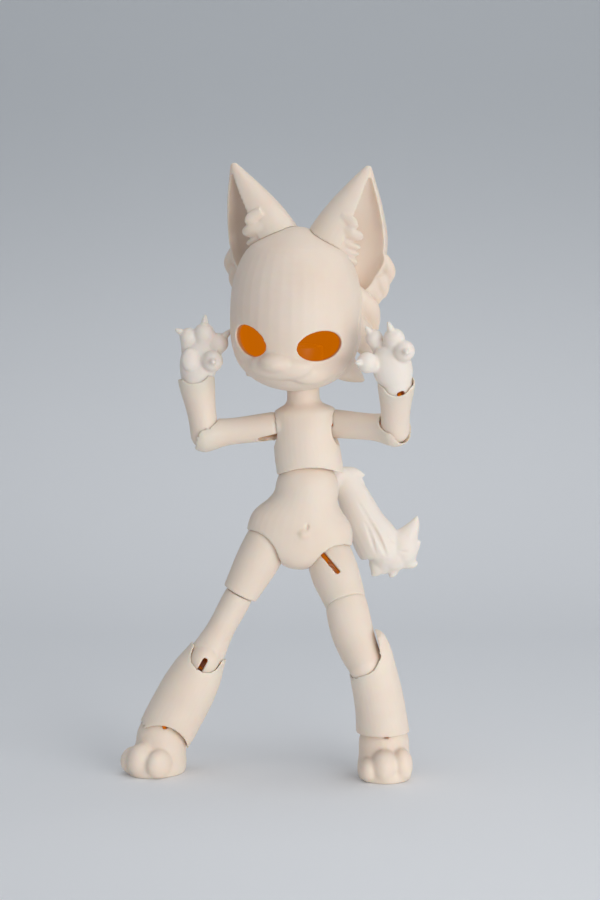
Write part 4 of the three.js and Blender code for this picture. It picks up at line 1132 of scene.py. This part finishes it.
@dataclass
class Arm:
    """An arm: upper arm with its elbow cup, forearm with its wrist rim, and a clawed paw."""

    side: Side
    bones: Skeleton
    shoulder_radius: float = 4.7
    upper_length: float = 22.0
    elbow_radius: float = 4.75
    cup_radius: float = 5.8
    fore_length: float = 17.5
    wrist_radius: float = 5.0
    wrist_rim: float = 1.8

    UPPER = rings((0, 4.7, 4.7), (-6, 4.5, 4.55), (-12, 4.35, 4.45), (-16, 4.6, 4.65), (-19.5, 5.35, 5.35))
    FORE = rings((0, 4.75, 4.75), (-5, 4.65, 4.7), (-9.5, 4.95, 4.95), (-13.5, 5.5, 5.45), (-16.5, 5.9, 5.85),
                 (-18.6, 6.0, 5.95))
    PALM = {
        Side.LEFT: rings((0.4, 4.9, 4.9, 0.1), (3.4, 6.0, 4.9, 0.6), (7, 6.3, 4.6, 0.9), (10.2, 5.6, 4.0, 1.2),
                         (12.6, 3.8, 3.2, 1.6)),
        Side.RIGHT: rings((0.4, 4.9, 4.9, 0.3), (3.4, 6.1, 5.1, 0.3), (7.4, 6.3, 5.0, 0.3),
                          (11.0, 5.4, 4.5, 0.5), (13.6, 3.6, 3.2, 0.8))}
    # Each finger's root, the middle of its tip, the tip's radius and the point of its claw.
    FINGERS = {
        Side.LEFT: (((-2.4, 0.6, 9.6), (-2.4, -0.6, 14.6), 3.1, (-6.8, -1.2, 17.2)),
                    ((2.2, 0.2, 10.6), (2.6, -1.6, 15.8), 3.4, (2.9, -1.8, 21.9)),
                    ((4.8, 0.4, 9.0), (7.0, -0.6, 12.6), 3.4, (11.3, -0.9, 17.0)),
                    ((4.0, -2.4, 7.0), (5.4, -4.6, 6.9), 3.4, (5.7, -10.0, 6.9))),
        Side.RIGHT: (((-1.4, 1.6, 10.2), (-2.6, 1.9, 16.2), 2.8, (-4.3, 1.5, 20.6)),
                     ((1.4, -0.4, 10.6), (3.2, -1.9, 15.0), 3.5, (2.9, -3.0, 21.2)),
                     ((3.8, -1.4, 8.8), (5.2, -4.2, 11.0), 3.4, (5.6, -9.6, 11.6)),
                     ((-4.0, -0.8, 8.4), (-7.0, -2.8, 10.4), 3.3, (-10.4, -5.9, 12.2)))}
    CLAW_RADII = (1.3, 1.05, 0.45)

    def build(self, shop: Workshop) -> None:
        """Casts the arm's three pieces.

        Args:
            shop: The workshop.
        """
        self.upper_arm(shop)
        self.forearm(shop)
        self.paw(shop)

    def upper_arm(self, shop: Workshop) -> None:
        """Casts the upper arm.

        Args:
            shop: The workshop.
        """
        word, stand = self.side.word, self.bones.upper_arm[self.side]
        elbow = (0, 0, -self.upper_length)
        cup = self.elbow_radius + SEAT_GAP
        clay = Clay().turned(dome(self.shoulder_radius) + self.UPPER
                             + [Ring(-self.upper_length, self.cup_radius, self.cup_radius)]
                             + dome(self.cup_radius, -self.upper_length, -1)[::-1])
        carving = Clay().ball(elbow, (cup,) * 3)
        for place in self.bones.passes(f"elbow_{word}", self.bones.forearm[self.side], stand, 32):
            carving.rod((0, 0, 0), (0, 0, -11), cup, 5.3, place)
        carving.rod(elbow, (0, 0, 0), CHANNEL_RADIUS)
        if self.side is Side.LEFT:
            # Low on the arm, and wider towards the ball.
            for slant in (-7, 0, 7):
                place = Matrix.Translation((3.5, 0, -5.4)) @ Matrix.Rotation(math.radians(slant), 4, "Y")
                carving.block((-0.4, -8, 0), (0.4, 0.5, 13), place)
        else:
            carving.block((-0.65, -8, -1.2), (0.65, 0, 8))
        shop.cast(f"upper_arm_{word}_casting", f"upper_arm_{word}", [f"upper_arm_{word}"], stand, clay, carving)

    def forearm(self, shop: Workshop) -> None:
        """Casts the forearm.

        Args:
            shop: The workshop.
        """
        word, stand = self.side.word, self.bones.forearm[self.side]
        wrist, end = (0, 0, -self.fore_length), -self.fore_length - self.wrist_rim
        cup = self.wrist_radius + SEAT_GAP
        clay = Clay().turned(dome(self.elbow_radius) + self.FORE + [Ring(end, 5.85, 5.85)])
        carving = Clay().ball(wrist, (cup,) * 3)
        carving.rod(wrist, (0, 0, end - 2), cup, 5.7)
        carving.rod(wrist, (0, 0, 0), CHANNEL_RADIUS)
        carving.ball((0, -7.5, end - 0.3), (5.2, 5.2, 2.3))
        shop.cast(f"forearm_{word}_casting", f"forearm_{word}", [f"forearm_{word}"], stand, clay, carving)

    def paw(self, shop: Workshop) -> None:
        """Casts the hand paw: a palm, three fingers and a thumb, each with its claw.

        Args:
            shop: The workshop.
        """
        word = self.side.word
        clay = Clay().ball((0, 0, 0), (self.wrist_radius,) * 3).turned(self.PALM[self.side])
        claws = Clay()
        for root, tip, radius, claw in self.FINGERS[self.side]:
            clay.lock([root, tip], [radius * 0.85, radius * 0.9])
            clay.ball(tip, (radius,) * 3)
            aim = (Vector(claw) - Vector(tip)).normalized()
            start = Vector(tip) + aim * radius * 0.7
            middle = start.lerp(Vector(claw), 0.5)
            claws.lock([start, middle, claw], self.CLAW_RADII, wide=ACROSS if abs(aim.x) < 0.8 else UP)
        # Its slot takes painted shade.
        carving = Clay().block((-0.75, -9, -7), (0.75, 3.2, -1.4))
        if self.side is Side.LEFT:
            clay.ball((-1.9, -4.2, 7.4), (2.9, 2.1, 3.7))
        else:
            carving.block((-0.2, -9, -3.4), (1.6, 0, -1.2))
        shop.cast(f"hand_paw_{word}", f"hand_{word}", [f"hand_{word}"], self.bones.hand[self.side], clay,
                  carving, added=claws, grade=Grade.FINE, blend=2, soften=1, blush=0.3, thin=True)


def by_side(left: float, right: float) -> dict[Side, float]:
    """Makes a field that differs from side to side.

    Args:
        left: Its value on the left.
        right: Its value on the right.

    Returns:
        The dataclass field, which holds both values by side.
    """
    return field(default_factory=lambda: {Side.LEFT: left, Side.RIGHT: right})


@dataclass
class Head:
    """The head: face plate and rear cap, parted by a thin seam, with big cupped ears."""

    bones: Skeleton
    centre: Vector = field(default_factory=lambda: Vector((-1.9, -4.0, 19.5)))
    half_width: float = 21.25
    half_depth: float = 20.0
    height: float = 53.0
    wall: float = 2.2
    seam: float = 0.3
    lean: float = 11.4
    seat_radius: float = 7.5
    neck_radius: float = 5.45
    eye_angle: dict[Side, float] = by_side(35.0, 39.0)
    eye_rise: dict[Side, float] = by_side(14.4, 13.6)
    eye_half_width: dict[Side, float] = by_side(7.0, 7.6)
    eye_half_height: float = 4.85
    eye_slant: dict[Side, float] = by_side(17.0, 8.0)
    ear_spread: dict[Side, float] = by_side(10.6, 12.7)
    ear_set_back: float = 5.0
    ear_rise: float = 38.5
    ear_lean_forward: float = 17.0
    ear_lean_out: float = 14.0
    ear_opening: dict[Side, float] = by_side(32.0, 42.0)
    ear_tilt: dict[Side, float] = by_side(1.8, 0.0)
    # How strong the painted shade in each ear's hollow is.
    ear_blush: dict[Side, float] = by_side(0.4, 0.2)
    fluff_set_in: dict[Side, float] = by_side(2.0, 1.2)
    tuft_reach: dict[Side, float] = by_side(-1.9, 0.3)
    tuft_lift: dict[Side, float] = by_side(1.0, 0.0)
    # The turned head hides the left cheek's locks, which lie closer.
    cheek_trim: dict[Side, float] = by_side(2.8, 0.0)

    # The dome's height, half width and half depth, as shares of the head's.
    DOME_SHARES = (
        (-0.415, 0.15, 0.2), (-0.39, 0.42, 0.46), (-0.335, 0.68, 0.7), (-0.245, 0.88, 0.88),
        (-0.13, 0.975, 0.97), (-0.03, 1, 1), (0.13, 1, 1), (0.275, 0.95, 0.95), (0.43, 0.78, 0.78),
        (0.505, 0.54, 0.54), (0.565, 0.23, 0.23), (0.583, 0.06, 0.06))
    # The muzzle's edge, from the nose to the cheek, seen from the head's centre.
    LIP = ((0.5, -15.8, -12.6), (3.4, -14.4, -13.2), (6.4, -12.0, -14.4), (9.6, -9.6, -14.6),
           (13.0, -7.6, -12.6), (15.4, -7.4, -9.4))
    LIP_RADII = {Side.LEFT: (3.8, 3.8, 3.4, 2.4, 1.6, 0.8), Side.RIGHT: (3.8, 4.0, 4.2, 4.0, 3.2, 1.4)}
    CHEEK_LOCKS = (
        ([(16.5, 6, 30), (22.0, 8.8, 24), (24.6, 11.0, 17)], [3.4, 4.0, 0.8]),
        ([(16.8, 5, 21), (20.8, 8.2, 14), (22.6, 10.4, 7.0)], [3.8, 4.4, 0.8]),
        ([(11.5, 4, 9), (16.4, 6.0, 4.2), (21.4, 8.2, 0.6)], [4.8, 4.4, 0.7]))
    # The ear's rings, each with how much of the ear's tilt its shift takes on.
    EAR = ((-10.2, 9.8, 5.6, -2.6, 0), (-4.4, 14.0, 8.2, -0.9, 0), (0.7, 15.5, 9.3, -0.1, 0),
           (7.5, 15.0, 9.4, 0, 0), (12.5, 13.3, 8.6, 0.3, 0.1), (17, 11.2, 7.6, 0.6, 0.25),
           (21.5, 8.8, 6.2, 1.0, 0.5),
           (25.5, 6.4, 4.7, 1.4, 0.7), (29.5, 3.9, 3.0, 1.8, 0.85), (32.5, 2.0, 1.7, 2.2, 0.95),
           (34.2, 0.8, 0.8, 2.4, 1))
    EAR_HOLLOW = ((-5.5, 2.6, 2.6, 1.6, -8.4, 0), (-1.0, 5.6, 4.6, 2.4, -8.2, 0),
                  (5.0, 8.5, 6.0, 2.1, -7.9, 0), (11, 8.4, 6.0, 1.9, -7.2, 0),
                  (17, 6.4, 5.2, 2.0, -6.0, 0.2), (22.5, 4.2, 4.0, 2.1, -4.6, 0.5),
                  (27.5, 2.1, 2.5, 2.2, -3.2, 0.8), (31.0, 0.7, 1.0, 2.3, -2.2, 1))
    EAR_TUFTS = (
        ([(25.0, 7.6, 40.4), (27.6, 8.2, 36.2), (27.7, 8.6, 32.4)], [2.6, 2.3, 0.6]),
        ([(24.0, 7.4, 34.6), (25.8, 8.0, 31.0), (26.0, 8.4, 27.4)], [3.0, 2.3, 0.6]),
        ([(21.6, 7.2, 31.6), (23.4, 7.8, 27.6), (22.6, 8.0, 24.6)], [3.2, 2.4, 0.6]),
        ([(18.8, 6.6, 30.0), (19.8, 7.0, 26.4), (18.2, 7.2, 23.8)], [3.2, 2.4, 0.8]))
    # Each lock of the fluff: its height, how far its tip reaches, its size and its droop.
    EAR_FLUFF = ((15.2, -1.0, 1.9, 0.4), (11.4, 0.9, 2.6, 1.0), (7.6, 1.5, 1.7, 0.2), (5.2, 1.8, 1.3, 0.2),
                 (2.6, 1.2, 2.0, 1.6), (-0.6, 1.2, 1.5, 1.6))

    def build(self, shop: Workshop) -> None:
        """Casts the face plate, the cap and both ears.

        Args:
            shop: The workshop.
        """
        self.face_plate(shop)
        self.cap(shop)
        for side in Side:
            self.ear(shop, side)

    def shell(self, clay: Clay, shrink: float) -> Clay:
        """Adds the head's dome, shrunk by a wall's thickness for its inside.

        Args:
            clay: The clay that gets it.
            shrink: How much smaller it is all round, in millimetres.

        Returns:
            The same clay.
        """
        height = self.height - 2 * shrink
        wide, deep = self.half_width - shrink, self.half_depth - shrink
        return clay.turned([Ring(self.centre.z + rise * height, width * wide, depth * deep, self.centre.x,
                                 self.centre.y) for rise, width, depth in self.DOME_SHARES], steps=3)

    def halved(self, clay: Clay, front: bool) -> Clay:
        """Adds the block that takes one half of the head away, up to the seam between plate and cap.

        Args:
            clay: The clay that gets it.
            front: Whether the front half stays.

        Returns:
            The same clay.
        """
        place = Matrix.Translation(self.centre + Vector((0, -1, 0))) \
            @ Matrix.Rotation(math.radians(-self.lean), 4, "X")
        gap, far = self.seam / 2, 2 * FAR
        if front:
            return clay.block((-far, -gap, -far), (far, far, far), place)
        return clay.block((-far, -far, -far), (far, gap, far), place)

    def face_plate(self, shop: Workshop) -> None:
        """Casts the face: a smooth dome with two slanting eye holes and a small low muzzle.

        Args:
            shop: The workshop.
        """
        c = self.centre
        clay = self.shell(Clay(), 0)
        clay.ball((c.x - 0.6, c.y - 15.4, c.z - 12.8), (10.5, 5.6, 4.6))
        clay.ball((c.x - 1.6, c.y - 18.2, c.z - 11.7), (5.6, 5.2, 3.2))
        for side in Side:
            lip = [(c.x + side.value * across, c.y + back, c.z + rise) for across, back, rise in self.LIP]
            clay.lock(lip, self.LIP_RADII[side])
        carving = self.halved(self.shell(Clay(), self.wall), True)
        for side in Side:
            place = Matrix.Translation(Vector((c.x, c.y, self.eye_rise[side]))) \
                @ Matrix.Rotation(math.radians(side.value * self.eye_angle[side]), 4, "Z") \
                @ Matrix.Translation(Vector((0, -0.5 * self.half_depth, 0))) \
                @ Matrix.Rotation(math.radians(-side.value * self.eye_slant[side]), 4, "Y") \
                @ Matrix.Diagonal((self.eye_half_width[side], 1.0, self.eye_half_height, 1.0))
            carving.rod((0, -20, 0), (0, 0, 0), 1.0, place=place)
        drilled = Clay().ball((0, 0, 0), (self.seat_radius + SEAT_GAP,) * 3)
        # The inside of the head, seen through the eye holes, takes the painted glow.
        shop.cast("face_plate_casting", "head", ["face_plate"], self.bones.head, clay, carving, drilled=drilled,
                  blend=10, soften=1, soak=1.7)

    def cap(self, shop: Workshop) -> None:
        """Casts the rear of the head, with fur locks at the cheeks and the neck's seat with its collar.

        Args:
            shop: The workshop.
        """
        c = self.centre
        clay = self.shell(Clay(), 0)
        for side in Side:
            trim = self.cheek_trim[side]
            for points, radii in self.CHEEK_LOCKS:
                clay.lock([(c.x + side.value * (across - trim), c.y + back + 0.5 * trim, rise)
                           for across, back, rise in points], radii, 0.8)
        carving = self.halved(self.shell(Clay(), self.wall), False)
        spared = Clay().ball((0, 0, 0), (self.seat_radius,) * 3)
        spared.rod((0, 0, 0), (0, 0, 11.8), 6.4)
        drilled = self.halved(Clay().ball((0, 0, 0), (self.neck_radius + RUNNING_GAP,) * 3), False)
        drilled.rod((0, 0, 0), (0, 0, -12), self.neck_radius + RUNNING_GAP, 9.2)
        drilled.rod((0, 0, 7.6), (0, 0, 14), 4.9)
        drilled.block((-0.9, -2.6, 0), (0.9, 2.6, 9))
        # The inside of the cap takes the painted glow, seen through the eye holes.
        shop.cast("rear_cap_casting", "head", ["head_cap"], self.bones.head, clay, carving, spared, drilled,
                  blend=3, soak=2.4)

    def ear(self, shop: Workshop, side: Side) -> None:
        """Casts an ear: a tall cup with a rolled rim, combed fluff at its inner edge and tufts at its foot.

        Args:
            shop: The workshop.
            side: Which ear. Both are shaped as the right one, from its foot up with the hollow to the front.
        """
        foot = Vector((self.ear_spread[side], self.ear_set_back, self.ear_rise))
        turn = about(ACROSS, self.ear_lean_forward) @ about(BACK, self.ear_lean_out) \
            @ about(UP, self.ear_opening[side])
        mirrored = Matrix.Translation(Vector((self.centre.x, 0, 0))) @ Matrix.Diagonal((side.value, 1, 1, 1))
        place = mirrored @ Matrix.Translation(foot) @ turn.to_matrix().to_4x4()
        tilt, inward = self.ear_tilt[side], self.fluff_set_in[side]
        reach, lift = self.tuft_reach[side], self.tuft_lift[side]
        clay = Clay().turned([Ring(height, wide, deep, shift + share * tilt)
                              for height, wide, deep, shift, share in self.EAR], place)
        clay.ball((20.0 + reach, 7.0, 40.0 + lift), (6.6, 4.4, 7.6), place=mirrored)
        clay.ball((18.4 + reach, 6.0, 31.5 + lift), (6.0, 4.2, 6.2), place=mirrored)
        for points, radii in self.EAR_TUFTS:
            path = [mirrored @ Vector((across + reach, back, rise + lift)) for across, back, rise in points]
            clay.lock(path, radii, 0.85)
        carving = Clay().turned([Ring(height, wide, deep, shift + share * tilt, back)
                                 for height, wide, deep, shift, back, share in self.EAR_HOLLOW], place)
        # The ear sits on the cap's dome.
        self.shell(carving, -0.05)
        added = Clay().ball((-5.4, -4.2, 7.6), (4.2, 3.2, 9.2), place=place)
        for rise, tip, size, droop in self.EAR_FLUFF:
            wide = 1.0 - 0.012 * rise
            added.lock([place @ Vector((across - inward, back, height + 1.8)) for across, back, height in (
                (-6.6 * wide, -4.0, rise + 2.0), (-3.8 * wide, -6.4, rise + 1.0), (tip - 1.2, -7.3, rise),
                (tip, -7.0, rise - droop))], [0.7 * size, size, 0.95 * size, 0.55 * size], 0.6)
        drilled = self.shell(Clay(), -0.05)
        # Its hollow takes painted shade, and no painted glow.
        shop.cast(f"ear_{side.word}_casting", "head", [f"ear_{side.word}"], self.bones.head, clay, carving, None,
                  drilled, added, blend=3, soften=1, soak=0.0, blush=self.ear_blush[side])


@dataclass
class Tail:
    """The thick brush of a tail on its peg, with pointed tufts and combed grooves."""

    bones: Skeleton
    peg_radius: float = 1.6

    BRUSH = ([(0, 0.6, 0), (3.5, 6.0, 5.5), (8.6, 9.2, 8.2), (12.2, 9.6, 4.4), (14.8, 9.5, -1.0), (17.6, 9.0, -7),
              (21.2, 8.5, -13), (23.6, 8.0, -18.5), (22.0, 7.6, -23.4)],
             [2.2, 3.4, 4.5, 5.1, 5.9, 6.7, 7.7, 6.6, 1.8])
    TUFTS = (([(9, 9, 8.6), (13.4, 9, 9.8), (17.4, 9, 9.2)], [3.6, 2.3, 0.4]),
             ([(11, 9, 7.0), (14.6, 9, 7.4), (17.2, 9, 6.4)], [3.2, 2.2, 0.4]),
             ([(30.0, 8.4, -14.0), (32.6, 8.4, -9.6), (34.2, 8.4, -6.6), (34.8, 8.4, -4.2)],
              [4.8, 3.0, 1.6, 0.3]),
             ([(28.0, 8.4, -13.0), (29.8, 8.2, -9.8), (30.9, 8.2, -7.6)], [3.6, 1.8, 0.3]),
             ([(31.0, 8.0, -17), (34.0, 8, -14.6), (35.9, 8, -12.6)], [4.0, 2.0, 0.4]),
             ([(30.0, 8, -19), (33.4, 7.8, -20.2), (35.2, 7.6, -20.0)], [3.4, 2.0, 0.4]),
             ([(22, 8, -18), (21.4, 7.4, -22.0), (19.8, 7.2, -24.6)], [3.0, 2.8, 0.5]),
             ([(25, 8, -20), (26.6, 7.4, -23.2), (25.6, 7.2, -25.0)], [3.6, 2.0, 0.4]))
    GROOVES = (([(10.8, 4.9, 8.4), (15.2, 4.2, 0.6), (20.2, 2.9, -8.2), (24.4, 1.8, -17.0), (26.8, 3.8, -22.6)],
                1.0),
               ([(15.4, 3.8, -3.6), (18.0, 3.0, -7.6), (20.4, 1.8, -15.2), (22.6, 2.8, -20.2)], 0.9),
               ([(22.4, 2.3, -9.0), (27.0, 3.4, -12.4), (31.4, 4.0, -11.4)], 0.9),
               ([(24.6, 2.4, -12.4), (29.4, 3.2, -15.8), (33.6, 4.2, -15.0)], 0.8))

    def build(self, shop: Workshop) -> None:
        """Casts the tail.

        Args:
            shop: The workshop.
        """
        clay = Clay().rod((0, -4, 0), (0, 2, 0), self.peg_radius)
        clay.lock(*self.BRUSH, 0.8, BACK.cross(Vector((0.5, 0, -1))).normalized())
        clay.ball((29.6, 8.2, -15.6), (5.6, 4.6, 6.2))
        clay.ball((26.4, 8.0, -18.2), (5.6, 4.6, 5.2))
        for points, radii in self.TUFTS:
            clay.lock(points, radii, 0.8, UP if abs(points[-1][0] - points[0][0]) > 4 else ACROSS)
        carving = Clay()
        for points, width in self.GROOVES:
            carving.lock(points, [0.2] + [width] * (len(points) - 2) + [0.2])
        shop.cast("brush_tail", "tail", ["tail"], self.bones.tail, clay, carving, blend=2, soften=1, soak=0.3,
                  thin=True)


# Studio


@dataclass
class Studio:
    """The paper sweep, the soft lights and the camera, at the photograph's angle."""

    aim: Vector = field(default_factory=lambda: Vector((0.0109, 0.0, 0.107)))
    distance: float = 0.75
    elevation: float = 5.0
    picture_height: float = 0.2925
    room_colour: str = "#dfe4ea"
    room_strength: float = 0.55
    paper_front: float = -1.2
    paper_bend: float = 0.28
    bend_radius: float = 0.3
    paper_top: float = 1.4
    paper_half_width: float = 1.6

    def build(self) -> None:
        """Sets up the camera, the lights and the paper."""
        self.camera()
        self.light("key_from_right", (0.5, -0.6, 0.14), 0.5, 2.6)
        self.light("low_from_front", (0.22, -0.62, 0.1), 0.2, 0.07, Vector((0.0, 0.0, 0.0)), 50.0)
        self.light("top_from_above", (0.1, 0.0, 0.75), 0.5, 0.95)
        self.world()
        self.paper()

    def camera(self) -> None:
        """Stands the camera in front of the doll, a little above its middle."""
        lens = bpy.data.cameras.new("photo_camera")
        lens.sensor_fit = "VERTICAL"
        lens.sensor_height = 24.0
        lens.lens = 24.0 * self.distance / self.picture_height
        rise = math.radians(self.elevation)
        away = Vector((0.0, -math.cos(rise), math.sin(rise))) * self.distance
        camera = bpy.data.objects.new("photo_camera", lens)
        camera.location = self.aim + away
        camera.rotation_euler = (-away).to_track_quat("-Z", "Y").to_euler()
        bpy.context.scene.collection.objects.link(camera)
        bpy.context.scene.camera = camera

    def light(self, name: str, spot: Sequence[float], size: float, power: float,
              target: Vector | None = None, spread: float = 180.0) -> None:
        """Hangs a soft light that faces the doll.

        Args:
            name: The light's name.
            spot: Where it hangs, in metres.
            size: The side of its soft box, in metres.
            power: Its power in watts.
            target: What it faces, if that isn't the doll's middle.
            spread: How wide it shines, in degrees.
        """
        lamp = bpy.data.lights.new(name, "AREA")
        lamp.shape = "SQUARE"
        lamp.size = size
        lamp.energy = power
        lamp.spread = math.radians(spread)
        holder = bpy.data.objects.new(name, lamp)
        holder.location = spot
        holder.rotation_euler = ((target or self.aim) - Vector(spot)).to_track_quat("-Z", "Y").to_euler()
        bpy.context.scene.collection.objects.link(holder)

    def world(self) -> None:
        """Gives the room its even grey light."""
        world = bpy.data.worlds.new("studio_room")
        bpy.context.scene.world = world
        world.use_nodes = True
        tree = world.node_tree
        tree.nodes.clear()
        room = add_node(tree, "ShaderNodeBackground", inputs={
            "Color": linear(self.room_colour), "Strength": self.room_strength})
        output = add_node(tree, "ShaderNodeOutputWorld")
        tree.links.new(room.outputs[0], output.inputs["Surface"])

    def paper(self) -> None:
        """Rolls the paper out over the floor and up behind the doll."""
        mesh = bmesh.new()
        bend, radius = self.paper_bend, self.bend_radius
        profile = [(self.paper_front, 0.0), (bend, 0.0)]
        for turn in range(10, 91, 10):
            angle = math.radians(turn)
            profile.append((bend + radius * math.sin(angle), radius - radius * math.cos(angle)))
        profile += [(bend + radius, self.paper_top)]
        row = [mesh.verts.new((-self.paper_half_width, back, height)) for back, height in profile]
        edges = [mesh.edges.new(pair) for pair in zip(row, row[1:])]
        grown = bmesh.ops.extrude_edge_only(mesh, edges=edges)
        bmesh.ops.translate(mesh, vec=(2 * self.paper_half_width, 0, 0), verts=[part for part in grown["geom"]
                                                         if isinstance(part, bmesh.types.BMVert)])
        bmesh.ops.recalc_face_normals(mesh, faces=mesh.faces)
        lowest = min(mesh.faces, key=lambda face: face.calc_center_median().z)
        if lowest.normal.z < 0:
            bmesh.ops.reverse_faces(mesh, faces=mesh.faces)
        data = bpy.data.meshes.new("studio_paper")
        mesh.to_mesh(data)
        mesh.free()
        for face in data.polygons:
            face.use_smooth = True
        data.materials.append(StudioPaper().make())
        paper = bpy.data.objects.new("studio_paper", data)
        bpy.context.scene.collection.objects.link(paper)


def main() -> None:
    """Builds the doll's pieces in order, and the studio around them."""
    logging.basicConfig(level=logging.INFO, format="%(name)s: %(message)s")
    bpy.context.scene.view_settings.view_transform = "Standard"
    Studio().build()
    shop = Workshop()
    bones = Skeleton(frame["joints"])
    shop.dress_nodes(frame["nodes"])
    Torso(bones).build(shop)
    for side in Side:
        Leg(side, bones).build(shop)
        Arm(side, bones).build(shop)
    Head(bones).build(shop)
    Tail(bones).build(shop)


if __name__ == "__main__":
    main()
